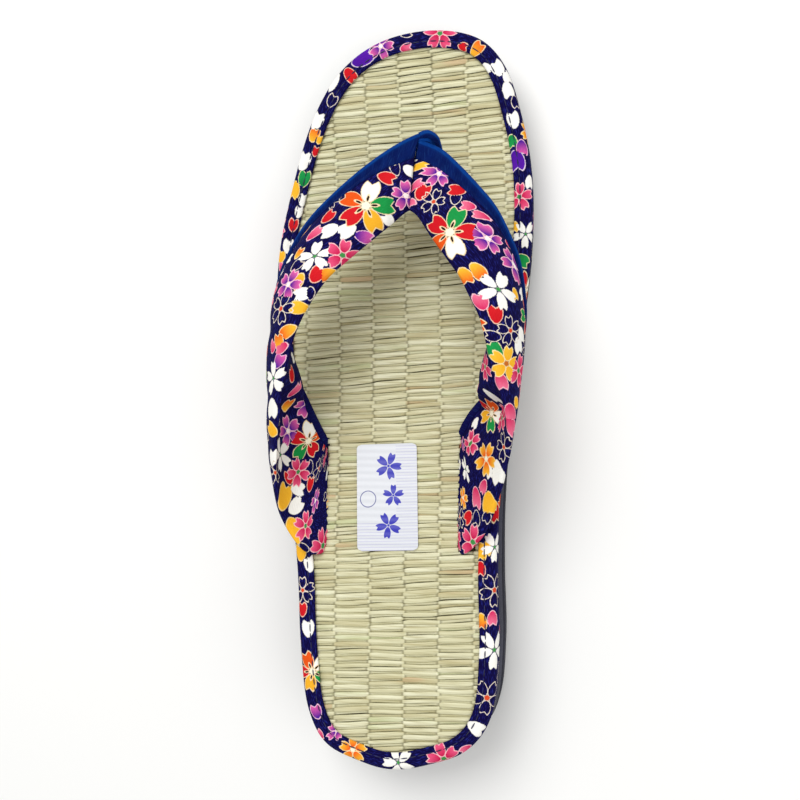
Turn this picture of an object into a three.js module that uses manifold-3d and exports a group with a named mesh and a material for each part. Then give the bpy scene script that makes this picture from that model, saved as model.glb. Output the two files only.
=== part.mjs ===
// Left-foot zori sandal: foam outsole, rush-mat insole with a sewn cloth edge, and a padded thong strap
// that rises from one toe post and enters a slit on each side of the insole.
// Millimetres, +Z up, +Y towards the toe, +X towards the inner (medial) side of the foot.
import * as THREE from 'three';
import { mergeVertices } from 'three/addons/utils/BufferGeometryUtils.js';
import Module from 'manifold-3d';

const wasm = await Module();
wasm.setup();

// Driving dimensions
const clearance = 0.3;
const insoleThickness = 7.2;
const bindingInset = 1.2;
const bindingTopWidth = 6.3;
const strapThickness = 4.4;
const tailThickness = 3.4;
const padRoundness = 0.7;
const crownBow = 2.2;
const lateralSideBow = 4.8;
const medialSideBow = 3;
const pipingDiameter = 3.2;
const pipingGap = 0.5;
const tailDepth = 6;
const slitDepth = insoleThickness + 1;
const label = { width: 21, length: 36, thickness: 0.35, cornerRadius: 1.6, x: -4.5, y: -34.7, turn: 0.04 };
const labelLift = 0.4;

// Fineness of the facets
const rungCount = 42;
const sectionsPerRow = 3;
const sectionSides = 16;
const pipingSides = 8;
const pipingSteps = 62;
const pipingRowStep = 0.5;
const weldDistance = 1e-4;
const sliverSize = 0.01;

// Outer edge of the sandal seen from above, a row for each station from toe to heel
const outlineRows = [
  { y: 126, lateral: 9, medial: 9 },
  { y: 123, lateral: -8.5, medial: 25 },
  { y: 114, lateral: -22.5, medial: 34.5 },
  { y: 99, lateral: -32.5, medial: 40 },
  { y: 75, lateral: -40.5, medial: 44.3 },
  { y: 49, lateral: -45.8, medial: 44 },
  { y: 20, lateral: -46, medial: 40.5 },
  { y: -10, lateral: -43, medial: 36.4 },
  { y: -35, lateral: -39, medial: 33.8 },
  { y: -60, lateral: -35.6, medial: 33.4 },
  { y: -85, lateral: -34, medial: 33.9 },
  { y: -108.5, lateral: -30.6, medial: 30.8 },
  { y: -119.5, lateral: -23.4, medial: 21.5 },
  { y: -124, lateral: -12.5, medial: 9.5 },
  { y: -126, lateral: -2, medial: -2 },
];

// Side view of the sole: top of the rush mat, and the underside with its toe spring and arch
const profileRows = [
  { y: -126, mat: 30, ground: 0.9 },
  { y: -112, mat: 29.8, ground: 0 },
  { y: -88, mat: 29.2, ground: 0 },
  { y: -62, mat: 27.6, ground: 0 },
  { y: -40, mat: 24.6, ground: 0.7 },
  { y: -22, mat: 21.7, ground: 1.3 },
  { y: 0, mat: 18.8, ground: 0.7 },
  { y: 20, mat: 17.2, ground: 0 },
  { y: 50, mat: 16, ground: 0 },
  { y: 86, mat: 16.2, ground: 0 },
  { y: 104, mat: 17.1, ground: 0.9 },
  { y: 126, mat: 19.4, ground: 3.4 },
];

// Side wall of the outsole, from the bevelled tread up past a parting groove to the insole
const outsoleWall = [
  { rise: 0, inset: 2 },
  { rise: 0.09, inset: 0.5 },
  { rise: 0.5, inset: 0.4 },
  { rise: 0.54, inset: 1 },
  { rise: 0.6, inset: 1 },
  { rise: 0.64, inset: 0.5 },
  { rise: 1, inset: 0.8 },
];

// Cut through the folded edge cloth, level measured from the top of the mat
const bindingSection = [
  { inset: bindingTopWidth, level: 0.3 },
  { inset: bindingTopWidth - 0.1, level: 0.9 },
  { inset: 4.4, level: 1.3 },
  { inset: 2, level: 1.2 },
  { inset: 0.7, level: 0.5 },
  { inset: 0.1, level: -0.9 },
  { inset: 0, level: -3.4 },
  { inset: 0.15, level: -5.8 },
  { inset: 0.5, level: -insoleThickness },
  { inset: bindingInset, level: -insoleThickness },
  { inset: bindingInset, level: 0.3 },
];

// Strap halves from the toe seam to the tail in its slit: piped front edge and rear edge of each section,
// with their heights above the mat
const lateralStrapRows = [
  { frontX: 16.5, frontY: 83.5, frontRise: 15.5, rearX: 11, rearY: 60, rearRise: 20.5 },
  { frontX: 11, frontY: 86.6, frontRise: 18.5, rearX: 5.6, rearY: 58.6, rearRise: 23.8 },
  { frontX: 2.2, frontY: 82.5, frontRise: 22, rearX: 1, rearY: 55.5, rearRise: 26.5 },
  { frontX: -8.5, frontY: 75, frontRise: 24.3, rearX: -5, rearY: 49.8, rearRise: 30 },
  { frontX: -18.5, frontY: 66.5, frontRise: 25.2, rearX: -11.5, rearY: 43.6, rearRise: 33.6 },
  { frontX: -27.5, frontY: 57.5, frontRise: 25, rearX: -18.5, rearY: 36.8, rearRise: 36 },
  { frontX: -34.3, frontY: 47.5, frontRise: 23.2, rearX: -24.5, rearY: 28, rearRise: 37 },
  { frontX: -38.8, frontY: 38.5, frontRise: 19.8, rearX: -28.8, rearY: 19.5, rearRise: 36.6 },
  { frontX: -40.4, frontY: 28.5, frontRise: 16, rearX: -31.4, rearY: 11.5, rearRise: 35.2 },
  { frontX: -40.4, frontY: 18.5, frontRise: 12.4, rearX: -34, rearY: 2.5, rearRise: 32.6 },
  { frontX: -38, frontY: 9.5, frontRise: 9, rearX: -36, rearY: -7.5, rearRise: 28.8 },
  { frontX: -34.4, frontY: 1.8, frontRise: 5.8, rearX: -37.8, rearY: -18, rearRise: 23.8 },
  { frontX: -31, frontY: -6, frontRise: 2.6, rearX: -39.2, rearY: -29, rearRise: 18 },
  { frontX: -28.3, frontY: -11.8, frontRise: 0.3, rearX: -38.2, rearY: -41, rearRise: 11.8 },
  { frontX: -26.8, frontY: -15, frontRise: -2, rearX: -32, rearY: -51.5, rearRise: 7.2 },
  { frontX: -26.2, frontY: -16.5, frontRise: -4, rearX: -27.2, rearY: -54.6, rearRise: -0.8 },
  { frontX: -25.8, frontY: -17.5, frontRise: -tailDepth, rearX: -26, rearY: -55, rearRise: -tailDepth },
];

const medialStrapRows = [
  { frontX: 8.5, frontY: 84, frontRise: 14.5, rearX: 3, rearY: 59.5, rearRise: 20.5 },
  { frontX: 16, frontY: 80.4, frontRise: 18.3, rearX: 8, rearY: 57.6, rearRise: 23.8 },
  { frontX: 22, frontY: 74.8, frontRise: 21.2, rearX: 13.6, rearY: 50.5, rearRise: 27.6 },
  { frontX: 28.5, frontY: 67.5, frontRise: 22.8, rearX: 19.1, rearY: 43, rearRise: 31.2 },
  { frontX: 34, frontY: 60.4, frontRise: 23, rearX: 23.6, rearY: 36.8, rearRise: 33.6 },
  { frontX: 38, frontY: 52.3, frontRise: 22, rearX: 27, rearY: 30.4, rearRise: 35 },
  { frontX: 40.8, frontY: 44.5, frontRise: 19.6, rearX: 30.2, rearY: 24, rearRise: 35.6 },
  { frontX: 42.3, frontY: 34.5, frontRise: 16.6, rearX: 32.4, rearY: 16.6, rearRise: 35.4 },
  { frontX: 42.4, frontY: 24.5, frontRise: 13.6, rearX: 34.4, rearY: 8.8, rearRise: 34 },
  { frontX: 40, frontY: 14.5, frontRise: 10.8, rearX: 36.6, rearY: 0.6, rearRise: 31.2 },
  { frontX: 35.4, frontY: 6.4, frontRise: 8.2, rearX: 38.6, rearY: -8, rearRise: 27 },
  { frontX: 29.8, frontY: 0.6, frontRise: 6, rearX: 38.6, rearY: -16, rearRise: 22.6 },
  { frontX: 25, frontY: -4.4, frontRise: 3.2, rearX: 37, rearY: -23.8, rearRise: 17.8 },
  { frontX: 21.8, frontY: -8.8, frontRise: 0.8, rearX: 34.8, rearY: -32, rearRise: 12.8 },
  { frontX: 20.3, frontY: -11.8, frontRise: -1.4, rearX: 30, rearY: -44.5, rearRise: 6.2 },
  { frontX: 19.7, frontY: -13.3, frontRise: -3.6, rearX: 21.4, rearY: -51.6, rearRise: -0.8 },
  { frontX: 19.4, frontY: -14.2, frontRise: -tailDepth, rearX: 20, rearY: -52, rearRise: -tailDepth },
];

// Row at which the strap enters its slit, the rows over which it thins before that,
// and the row where the piping leaves the tip
const slitRow = 15;
const thinningRows = 2;
const pipingFirstRow = 1.5;

// Toe post, a rolled stalk of strap cloth from the seam down through the insole
const postRows = [
  { x: 11.8, y: 77.5, rise: 19.5, halfWidth: 2.6, halfLength: 4 },
  { x: 12, y: 78, rise: 15.5, halfWidth: 4.6, halfLength: 6.2 },
  { x: 11.8, y: 77.6, rise: 9, halfWidth: 4.2, halfLength: 5 },
  { x: 11.6, y: 77.4, rise: 2, halfWidth: 4, halfLength: 4.6 },
  { x: 11.6, y: 77.4, rise: -tailDepth, halfWidth: 4, halfLength: 4.6 },
];

// Where each piping turns down at the tip, from its end in the toe hole up to the strap edge
const lateralPipingTip = [
  { x: 11.9, y: 83.9, rise: -tailDepth },
  { x: 11.9, y: 83.9, rise: 1 },
  { x: 12.4, y: 84.4, rise: 8 },
  { x: 13.3, y: 85.1, rise: 14 },
  { x: 12.6, y: 85.6, rise: 17.4 },
];
const medialPipingTip = [
  { x: 15.8, y: 80.9, rise: -tailDepth },
  { x: 15.8, y: 80.9, rise: 1 },
  { x: 16.2, y: 81.1, rise: 7 },
  { x: 16.9, y: 80.5, rise: 13.4 },
  { x: 17.9, y: 78.5, rise: 17.4 },
];

// Smooth curve through the rows of a table, giving one value for each named column
function smooth(rows, position, columns) {
  const values = rows.flatMap((row) => columns.map((column) => row[column]));
  const curve = new THREE.CubicInterpolant(rows.map(position), values, columns.length);
  return (at) => Array.from(curve.evaluate(at));
}

const profile = smooth(profileRows, (row) => row.y, ['mat', 'ground']);
const matHeight = (y) => profile(y)[0];
const groundHeight = (y) => Math.max(0, profile(y)[1]);

// Closed surface from an index list, turned so that its faces point out
function closedGeometry(points, triangles) {
  const volume = triangles.reduce((sum, [a, b, c]) => {
    const normal = new THREE.Vector3().crossVectors(points[b], points[c]);
    return sum + points[a].dot(normal);
  }, 0);
  const facing = volume < 0 ? triangles.map(([a, b, c]) => [a, c, b]) : triangles;
  const geometry = new THREE.BufferGeometry().setFromPoints(points);
  geometry.setIndex(facing.flat());
  return geometry;
}

// Quads between each ring and the next, both split into two triangles
function bandTriangles(ringCount, ringSize, closed) {
  const triangles = [];
  for (let ring = 0; ring < ringCount - (closed ? 0 : 1); ring += 1) {
    const here = ring * ringSize;
    const next = ((ring + 1) % ringCount) * ringSize;
    for (let side = 0; side < ringSize; side += 1) {
      const beside = (side + 1) % ringSize;
      triangles.push([here + side, here + beside, next + beside]);
      triangles.push([here + side, next + beside, next + side]);
    }
  }
  return triangles;
}

// Ladder of triangles across an outline ring, rung by rung from toe to heel
function ladderTriangles(offset, turned) {
  const size = 2 * rungCount;
  const triangles = [];
  for (let rung = 0; rung < rungCount; rung += 1) {
    const lateral = rung;
    const medial = (size - rung) % size;
    const medialNext = size - rung - 1;
    if (rung > 0) triangles.push([lateral, medialNext, medial]);
    if (rung < rungCount - 1) triangles.push([lateral, lateral + 1, medialNext]);
  }
  return triangles.map(([a, b, c]) => (turned ? [a, c, b] : [a, b, c]).map((corner) => corner + offset));
}

// Outline of the sandal, rungs closer together towards the round toe and heel
const halfLength = (outlineRows[0].y - outlineRows.at(-1).y) / 2;
const middleY = (outlineRows[0].y + outlineRows.at(-1).y) / 2;
const rungAngle = (y) => Math.acos(THREE.MathUtils.clamp((y - middleY) / halfLength, -1, 1));
const outlineAt = smooth(outlineRows, (row) => rungAngle(row.y), ['lateral', 'medial']);

function outlinePoints() {
  const lateralSide = [];
  const medialSide = [];
  for (let rung = 0; rung <= rungCount; rung += 1) {
    const angle = (Math.PI * rung) / rungCount;
    const [lateral, medial] = outlineAt(angle);
    const y = middleY + halfLength * Math.cos(angle);
    lateralSide.push(new THREE.Vector2(lateral, y));
    if (rung > 0 && rung < rungCount) medialSide.unshift(new THREE.Vector2(medial, y));
  }
  return [...lateralSide, ...medialSide];
}
const outline = outlinePoints();

function insetOutline(inset) {
  return outline.map((point, index) => {
    const before = outline.at(index - 1);
    const after = outline[(index + 1) % outline.length];
    const along = after.clone().sub(before).normalize();
    return new THREE.Vector2(point.x - along.y * inset, point.y + along.x * inset);
  });
}

function outlineRing(inset, height) {
  return insetOutline(inset).map((point) => new THREE.Vector3(point.x, point.y, height(point.y)));
}

function stackedSolid(rings) {
  const ringSize = rings[0].length;
  const topOffset = (rings.length - 1) * ringSize;
  const triangles = [
    ...ladderTriangles(0, true),
    ...bandTriangles(rings.length, ringSize, false),
    ...ladderTriangles(topOffset, false),
  ];
  return closedGeometry(rings.flat(), triangles);
}

function outsoleGeometry() {
  const seat = insoleThickness + clearance;
  const rings = outsoleWall.map(({ rise, inset }) =>
    outlineRing(inset, (y) => THREE.MathUtils.lerp(groundHeight(y), matHeight(y) - seat, rise)));
  return stackedSolid(rings);
}

function insoleBlank() {
  const inset = bindingInset + clearance;
  return stackedSolid([
    outlineRing(inset, (y) => matHeight(y) - insoleThickness),
    outlineRing(inset, matHeight),
  ]);
}

function bindingGeometry() {
  const rings = bindingSection.map(({ inset, level }) => outlineRing(inset, (y) => matHeight(y) + level));
  return closedGeometry(rings.flat(), bandTriangles(rings.length, rings[0].length, true));
}

// Tube from a list of equal rings, its two ends closed by a fan
function cappedTube(rings) {
  const ringSize = rings[0].length;
  const triangles = bandTriangles(rings.length, ringSize, false);
  const lastRing = (rings.length - 1) * ringSize;
  for (let side = 1; side < ringSize - 1; side += 1) {
    triangles.push([0, side + 1, side]);
    triangles.push([lastRing, lastRing + side, lastRing + side + 1]);
  }
  return closedGeometry(rings.flat(), triangles);
}

// The same rows with a last one below the insole, for cutting the slits right through
const cutThrough = {
  strap: (rows) => [...rows, { ...rows.at(-1), frontRise: -slitDepth, rearRise: -slitDepth }],
  stalk: (rows) => [...rows, { ...rows.at(-1), rise: -slitDepth }],
  tip: (rows) => [{ ...rows[0], rise: -slitDepth }, ...rows],
};

// One half of the strap as a function of its row number
function strapCourse(rows) {
  const columns = ['frontX', 'frontY', 'frontRise', 'rearX', 'rearY', 'rearRise'];
  const table = smooth(rows, (row) => rows.indexOf(row), columns);
  const edges = (at) => {
    const [frontX, frontY, frontRise, rearX, rearY, rearRise] = table(at);
    return {
      front: new THREE.Vector3(frontX, frontY, matHeight(frontY) + frontRise),
      rear: new THREE.Vector3(rearX, rearY, matHeight(rearY) + rearRise),
    };
  };
  return { edges, last: rows.length - 1 };
}

// Bulge across the strap, 0 at both edges and 1 in the middle
const bulge = (share) => 4 * share * (1 - share);

const halves = {
  lateral: { outwardSign: -1, sideBow: lateralSideBow },
  medial: { outwardSign: 1, sideBow: medialSideBow },
};

function strapHalf(rows, half, growth, frontMargin) {
  const { edges, last } = strapCourse(rows);
  const rings = [];
  const step = 1 / sectionsPerRow;
  const middleOf = ({ front, rear }) => front.clone().add(rear).multiplyScalar(0.5);
  for (let index = 0; index <= last * sectionsPerRow; index += 1) {
    const at = index * step;
    const { front, rear } = edges(at);
    const before = middleOf(edges(Math.max(0, at - step)));
    const after = middleOf(edges(Math.min(last, at + step)));
    const across = rear.clone().sub(front).normalize();
    const outward = across.clone().cross(after.sub(before).normalize()).normalize();
    outward.multiplyScalar(half.outwardSign);
    const bandFront = front.clone().addScaledVector(across, frontMargin - growth);
    const bandRear = rear.clone().addScaledVector(across, growth);
    const tail = THREE.MathUtils.smoothstep(at, slitRow - thinningRows, slitRow);
    const thickness = THREE.MathUtils.lerp(strapThickness, tailThickness, tail) + 2 * growth;
    const along = THREE.MathUtils.clamp(at / slitRow, 0, 1);
    const bow = THREE.MathUtils.lerp(crownBow, half.sideBow, along) * Math.sin(Math.PI * along);
    const ring = [];
    for (let side = 0; side < sectionSides; side += 1) {
      const angle = (2 * Math.PI * side) / sectionSides;
      const share = (1 - Math.cos(angle)) / 2;
      const lift = Math.sin(angle);
      const pad = Math.sign(lift) * Math.abs(lift) ** padRoundness * (thickness / 2);
      const point = bandFront.clone().lerp(bandRear, share);
      ring.push(point.addScaledVector(outward, pad + bow * bulge(share)));
    }
    rings.push(ring);
  }
  return cappedTube(rings);
}

function postGeometry(rows, growth) {
  const rings = rows.map((row) => {
    const ring = [];
    for (let side = 0; side < sectionSides; side += 1) {
      const angle = (2 * Math.PI * side) / sectionSides;
      const x = row.x + (row.halfWidth + growth) * Math.cos(angle);
      const y = row.y + (row.halfLength + growth) * Math.sin(angle);
      ring.push(new THREE.Vector3(x, y, matHeight(row.y) + row.rise));
    }
    return ring;
  });
  return cappedTube(rings);
}

function tubeAlong(points, radius, steps) {
  const section = new THREE.Shape();
  for (let side = 0; side < pipingSides; side += 1) {
    const angle = (2 * Math.PI * side) / pipingSides;
    const corner = [radius * Math.cos(angle), radius * Math.sin(angle)];
    if (side === 0) section.moveTo(...corner);
    else section.lineTo(...corner);
  }
  section.closePath();
  const extrudePath = new THREE.CatmullRomCurve3(points, false, 'centripetal');
  return new THREE.ExtrudeGeometry(section, { steps, extrudePath });
}

const tipPoints = (tipRows) => tipRows.map(({ x, y, rise }) => new THREE.Vector3(x, y, matHeight(y) + rise));

// Piping route: up the post, over the tip, and along the front edge of the strap into its slit
function pipingRoute(rows, tipRows) {
  const { edges, last } = strapCourse(rows);
  const route = tipPoints(tipRows);
  for (let at = pipingFirstRow; at <= last; at += pipingRowStep) {
    const { front, rear } = edges(at);
    const across = rear.sub(front).normalize();
    route.push(front.addScaledVector(across, pipingDiameter / 2));
  }
  return route;
}

// Closed geometry to a boolean solid and back
function toSolid(geometry) {
  const bare = geometry.clone();
  bare.deleteAttribute('normal');
  bare.deleteAttribute('uv');
  const merged = mergeVertices(bare, weldDistance);
  return new wasm.Manifold(new wasm.Mesh({
    numProp: 3,
    vertProperties: new Float32Array(merged.attributes.position.array),
    triVerts: new Uint32Array(merged.index.array),
  }));
}

// Corners closer than the sliver size become one, and the triangles that this flattens are dropped
function withoutSlivers(geometry) {
  const merged = mergeVertices(geometry, sliverSize);
  const corners = Array.from(merged.index.array);
  const kept = [];
  for (let first = 0; first < corners.length; first += 3) {
    const triangle = corners.slice(first, first + 3);
    if (new Set(triangle).size === 3) kept.push(...triangle);
  }
  merged.setIndex(kept);
  return merged;
}

function toGeometry(solid) {
  const mesh = solid.getMesh();
  const geometry = new THREE.BufferGeometry();
  geometry.setAttribute('position', new THREE.BufferAttribute(new Float32Array(mesh.vertProperties), 3));
  geometry.setIndex(new THREE.BufferAttribute(new Uint32Array(mesh.triVerts), 1));
  return withoutSlivers(geometry);
}

function pipingSolid(strapRows, tipRows, growth) {
  const route = pipingRoute(strapRows, tipRows);
  return toSolid(tubeAlong(route, pipingDiameter / 2 + growth, pipingSteps));
}

function strapSolid(lateralRows, medialRows, stalkRows, growth, frontMargin) {
  const lateral = toSolid(strapHalf(lateralRows, halves.lateral, growth, frontMargin));
  const medial = toSolid(strapHalf(medialRows, halves.medial, growth, frontMargin));
  return lateral.add(medial).add(toSolid(postGeometry(stalkRows, growth)));
}

// The room that a piping takes in the strap and the insole
function pipingRoom(strapRows, tipRows) {
  return pipingSolid(cutThrough.strap(strapRows), cutThrough.tip(tipRows), clearance);
}
const lateralPipingRoom = pipingRoom(lateralStrapRows, lateralPipingTip);
const medialPipingRoom = pipingRoom(medialStrapRows, medialPipingTip);

// The post is hollowed where the two pipings run down it
function strapUpperGeometry() {
  const strap = strapSolid(lateralStrapRows, medialStrapRows, postRows, 0, pipingDiameter + pipingGap);
  return toGeometry(strap.subtract(lateralPipingRoom).subtract(medialPipingRoom));
}

// Slits and toe hole follow the strap and piping that pass through them
function insoleGeometry() {
  const strapRoom = strapSolid(
    cutThrough.strap(lateralStrapRows),
    cutThrough.strap(medialStrapRows),
    cutThrough.stalk(postRows),
    clearance,
    0,
  );
  return toGeometry(toSolid(insoleBlank()).subtract(strapRoom.add(lateralPipingRoom).add(medialPipingRoom)));
}

function labelGeometry() {
  const { width, length, thickness, cornerRadius } = label;
  const right = width / 2;
  const top = length / 2;
  const shape = new THREE.Shape();
  shape.moveTo(right, cornerRadius - top);
  shape.absarc(right - cornerRadius, top - cornerRadius, cornerRadius, 0, Math.PI / 2);
  shape.absarc(cornerRadius - right, top - cornerRadius, cornerRadius, Math.PI / 2, Math.PI);
  shape.absarc(cornerRadius - right, cornerRadius - top, cornerRadius, Math.PI, 1.5 * Math.PI);
  shape.absarc(right - cornerRadius, cornerRadius - top, cornerRadius, 1.5 * Math.PI, 2 * Math.PI);
  return new THREE.ExtrudeGeometry(shape, { depth: thickness, bevelEnabled: false, curveSegments: 4 });
}

const finishes = {
  foam: new THREE.MeshStandardMaterial({ color: 0x2b2c38, roughness: 0.8, metalness: 0 }),
  rush: new THREE.MeshStandardMaterial({ color: 0xc3ba92, roughness: 0.7, metalness: 0 }),
  printedCloth: new THREE.MeshStandardMaterial({ color: 0x211a5c, roughness: 0.85, metalness: 0 }),
  piping: new THREE.MeshStandardMaterial({ color: 0x0c336a, roughness: 0.8, metalness: 0 }),
  paper: new THREE.MeshStandardMaterial({ color: 0xedf1f2, roughness: 0.5, metalness: 0 }),
};

const sandal = new THREE.Group();

function addPiece(name, geometry, material) {
  const piece = new THREE.Mesh(geometry, material);
  piece.name = name;
  sandal.add(piece);
  return piece;
}

addPiece('outsole', outsoleGeometry(), finishes.foam);
addPiece('tatami_insole', insoleGeometry(), finishes.rush);
addPiece('edge_binding', bindingGeometry(), finishes.printedCloth);
addPiece('strap_upper', strapUpperGeometry(), finishes.printedCloth);
addPiece('piping_lateral', toGeometry(pipingSolid(lateralStrapRows, lateralPipingTip, 0)), finishes.piping);
addPiece('piping_medial', toGeometry(pipingSolid(medialStrapRows, medialPipingTip, 0)), finishes.piping);

// The label lies along the slope of the mat between its two ends
const labelFront = matHeight(label.y + label.length / 2);
const labelBack = matHeight(label.y - label.length / 2);
const labelPiece = addPiece('footbed_label', labelGeometry(), finishes.paper);
labelPiece.rotation.set(Math.atan2(labelFront - labelBack, label.length), 0, label.turn, 'XYZ');
labelPiece.position.set(label.x, label.y, (labelFront + labelBack) / 2 + labelLift);

// The origin is on the ground, under the middle of the sandal
sandal.updateMatrixWorld(true);
const box = new THREE.Box3().setFromObject(sandal);
const centre = box.getCenter(new THREE.Vector3());
sandal.position.set(-centre.x, -centre.y, -box.min.z);

export default sandal;
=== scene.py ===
# %% [markdown]
# # A zori sandal with a rush mat and a printed thong strap
# The sandal is a foam wedge, a woven rush mat with a printed cloth edge, and a padded strap that forks from
# one toe post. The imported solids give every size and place. Each piece is then made again here with the
# finish that the eye reads: stems, cloth, stitches, piping and print.

# %% Load the packed sandal
import math
from functools import partial

import bpy
import numpy as np
from mathutils import Matrix, Vector


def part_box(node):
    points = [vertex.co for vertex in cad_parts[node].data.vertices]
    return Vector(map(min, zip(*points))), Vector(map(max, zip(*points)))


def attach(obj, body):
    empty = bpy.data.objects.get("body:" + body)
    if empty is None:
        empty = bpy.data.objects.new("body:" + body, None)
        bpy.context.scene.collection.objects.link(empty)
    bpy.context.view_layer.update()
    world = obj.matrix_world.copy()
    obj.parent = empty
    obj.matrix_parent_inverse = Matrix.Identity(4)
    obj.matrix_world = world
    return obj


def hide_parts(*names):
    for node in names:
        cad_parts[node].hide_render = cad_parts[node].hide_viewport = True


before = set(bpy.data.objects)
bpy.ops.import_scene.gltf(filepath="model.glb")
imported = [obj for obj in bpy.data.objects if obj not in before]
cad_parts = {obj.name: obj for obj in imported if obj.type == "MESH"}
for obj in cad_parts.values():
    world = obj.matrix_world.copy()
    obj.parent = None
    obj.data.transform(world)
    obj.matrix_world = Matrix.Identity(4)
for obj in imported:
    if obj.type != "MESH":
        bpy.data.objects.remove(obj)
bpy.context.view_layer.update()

mm = 0.001

# %% [markdown]
# ## Camera
# The sandal is seen from above, from a point beside its inner edge. A camera that looks down has no natural
# "up", so its three axes are worked out one by one: the picture's up is the direction of the toe.

# %% Camera over the inner side of the foot
camera_place = Vector((62.9, -1.9, 365)) * mm
camera_aim = Vector((0.5, -1.6, 22)) * mm
camera_lens = 45.7

bpy.ops.object.select_all(action="DESELECT")
bpy.ops.object.camera_add(location=camera_place)
camera = bpy.context.active_object
backward = (camera_place - camera_aim).normalized()
rightward = Vector((0, 1, 0)).cross(backward).normalized()
upward = backward.cross(rightward)
camera.rotation_euler = Matrix((rightward, upward, backward)).transposed().to_euler()
camera.data.lens = camera_lens
camera.data.clip_start = 0.01
bpy.context.scene.camera = camera
print("camera stands", round((camera_place - camera_aim).length / mm), "mm from the sandal")

# %% [markdown]
# ## Floor and light
# A pale floor and large soft lamps leave only a gentle shadow under the strap. The plain view transform keeps
# the strong colours of the print as they are mixed.

# %% Floor, lamps and sky
floor_size = 6
sky_strength = 0.56

bpy.ops.object.select_all(action="DESELECT")
bpy.ops.mesh.primitive_plane_add(size=floor_size)
floor = bpy.context.active_object
floor.name = "floor"

lamps = [
    {"name": "key_lamp", "place": (-0.25, 0.55, 0.95), "size": 0.7, "power": 8.2},
    {"name": "fill_lamp", "place": (0.6, -0.35, 0.8), "size": 0.9, "power": 3.0},
]
for lamp in lamps:
    bpy.ops.object.light_add(type="AREA", location=lamp["place"])
    light = bpy.context.active_object
    light.name = lamp["name"]
    light.data.size = lamp["size"]
    light.data.energy = lamp["power"]
    light.rotation_euler = (-Vector(lamp["place"])).to_track_quat("-Z", "Y").to_euler()

sky = bpy.data.worlds.new("soft_sky")
sky.use_nodes = True
sky.node_tree.nodes["Background"].inputs["Color"].default_value = (1, 1, 1, 1)
sky.node_tree.nodes["Background"].inputs["Strength"].default_value = sky_strength
bpy.context.scene.world = sky
bpy.context.scene.view_settings.view_transform = "Standard"
print("lamps:", [lamp["name"] for lamp in lamps])

# %% [markdown]
# ## The shape of the last
# Two short tables hold the sandal's side view and its outline, in millimetres. A smooth curve is drawn
# through the rows of a table, so a few stations give the whole form.

# %% Smooth curves through a table
def smooth(places, rows, at):
    """Values of the table's columns at the places asked, on a smooth curve through its rows."""
    places = np.asarray(places, float)
    rows = np.asarray(rows, float)
    at = np.asarray(at, float)
    climbs = np.diff(rows, axis=0) / np.diff(places)[:, None]
    slopes = np.vstack([climbs[:1], (climbs[1:] + climbs[:-1]) / 2, climbs[-1:]])
    span = np.clip(np.searchsorted(places, at, side="right") - 1, 0, len(places) - 2)
    width = (places[span + 1] - places[span])[..., None]
    share = (at - places[span])[..., None] / width
    start = (2 * share**3 - 3 * share**2 + 1) * rows[span]
    start_climb = (share**3 - 2 * share**2 + share) * width * slopes[span]
    end = (3 * share**2 - 2 * share**3) * rows[span + 1]
    end_climb = (share**3 - share**2) * width * slopes[span + 1]
    return (start + start_climb) + (end + end_climb)


# Height of the rush mat, and of the underside with its arch and toe spring, at stations from heel to toe
profile_rows = [
    # y, mat, ground
    (-126, 30, 0.9),
    (-112, 29.8, 0),
    (-88, 29.2, 0),
    (-62, 27.6, 0),
    (-40, 24.6, 0.7),
    (-22, 21.7, 1.3),
    (0, 18.8, 0.7),
    (20, 17.2, 0),
    (50, 16, 0),
    (86, 16.2, 0),
    (104, 17.1, 0.9),
    (126, 19.4, 3.4),
]
profile_table = np.array(profile_rows)


def mat_height(y):
    return smooth(profile_table[:, 0], profile_table[:, 1:], y)[..., 0]


def ground_height(y):
    return np.maximum(0, smooth(profile_table[:, 0], profile_table[:, 1:], y)[..., 1])

# %% Outline of the sandal
# Outer edge seen from above, from toe to heel
outline_rows = [
    # y, lateral, medial
    (126, 9, 9),
    (123, -8.5, 25),
    (114, -22.5, 34.5),
    (99, -32.5, 40),
    (75, -40.5, 44.3),
    (49, -45.8, 44),
    (20, -46, 40.5),
    (-10, -43, 36.4),
    (-35, -39, 33.8),
    (-60, -35.6, 33.4),
    (-85, -34, 33.9),
    (-108.5, -30.6, 30.8),
    (-119.5, -23.4, 21.5),
    (-124, -12.5, 9.5),
    (-126, -2, -2),
]
outline_table = np.array(outline_rows)
half_length = outline_table[0, 0]
station_angles = np.arccos(outline_table[:, 0] / half_length)


def outline_by_rungs(rungs):
    """Corners of the outline, lateral side to the heel and medial side back, in pairs across the foot."""
    angle = np.linspace(0, math.pi, rungs + 1)
    sides = smooth(station_angles, outline_table[:, 1:], angle)
    y = half_length * np.cos(angle)
    lateral = np.column_stack([sides[:, 0], y])
    medial = np.column_stack([sides[:, 1], y])
    return np.vstack([lateral, medial[-2:0:-1]])


def inset_outline(corners, inset):
    """The outline drawn in by a distance, which may differ from corner to corner."""
    along = np.roll(corners, -1, axis=0) - np.roll(corners, 1, axis=0)
    along /= np.linalg.norm(along, axis=1)[:, None]
    inward = np.column_stack([-along[:, 1], along[:, 0]])
    return corners + inward * np.broadcast_to(inset, len(corners))[:, None]


fine_rungs = 600
fine_outline = outline_by_rungs(fine_rungs)
table_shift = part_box("edge_binding")[0].x / mm - fine_outline[:, 0].min()
print("the tables lie", round(table_shift, 2), "mm beside the frame")


def to_frame(points):
    """Table millimetres to the frame's metres."""
    return (np.asarray(points) + [table_shift, 0, 0]) * mm

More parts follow.
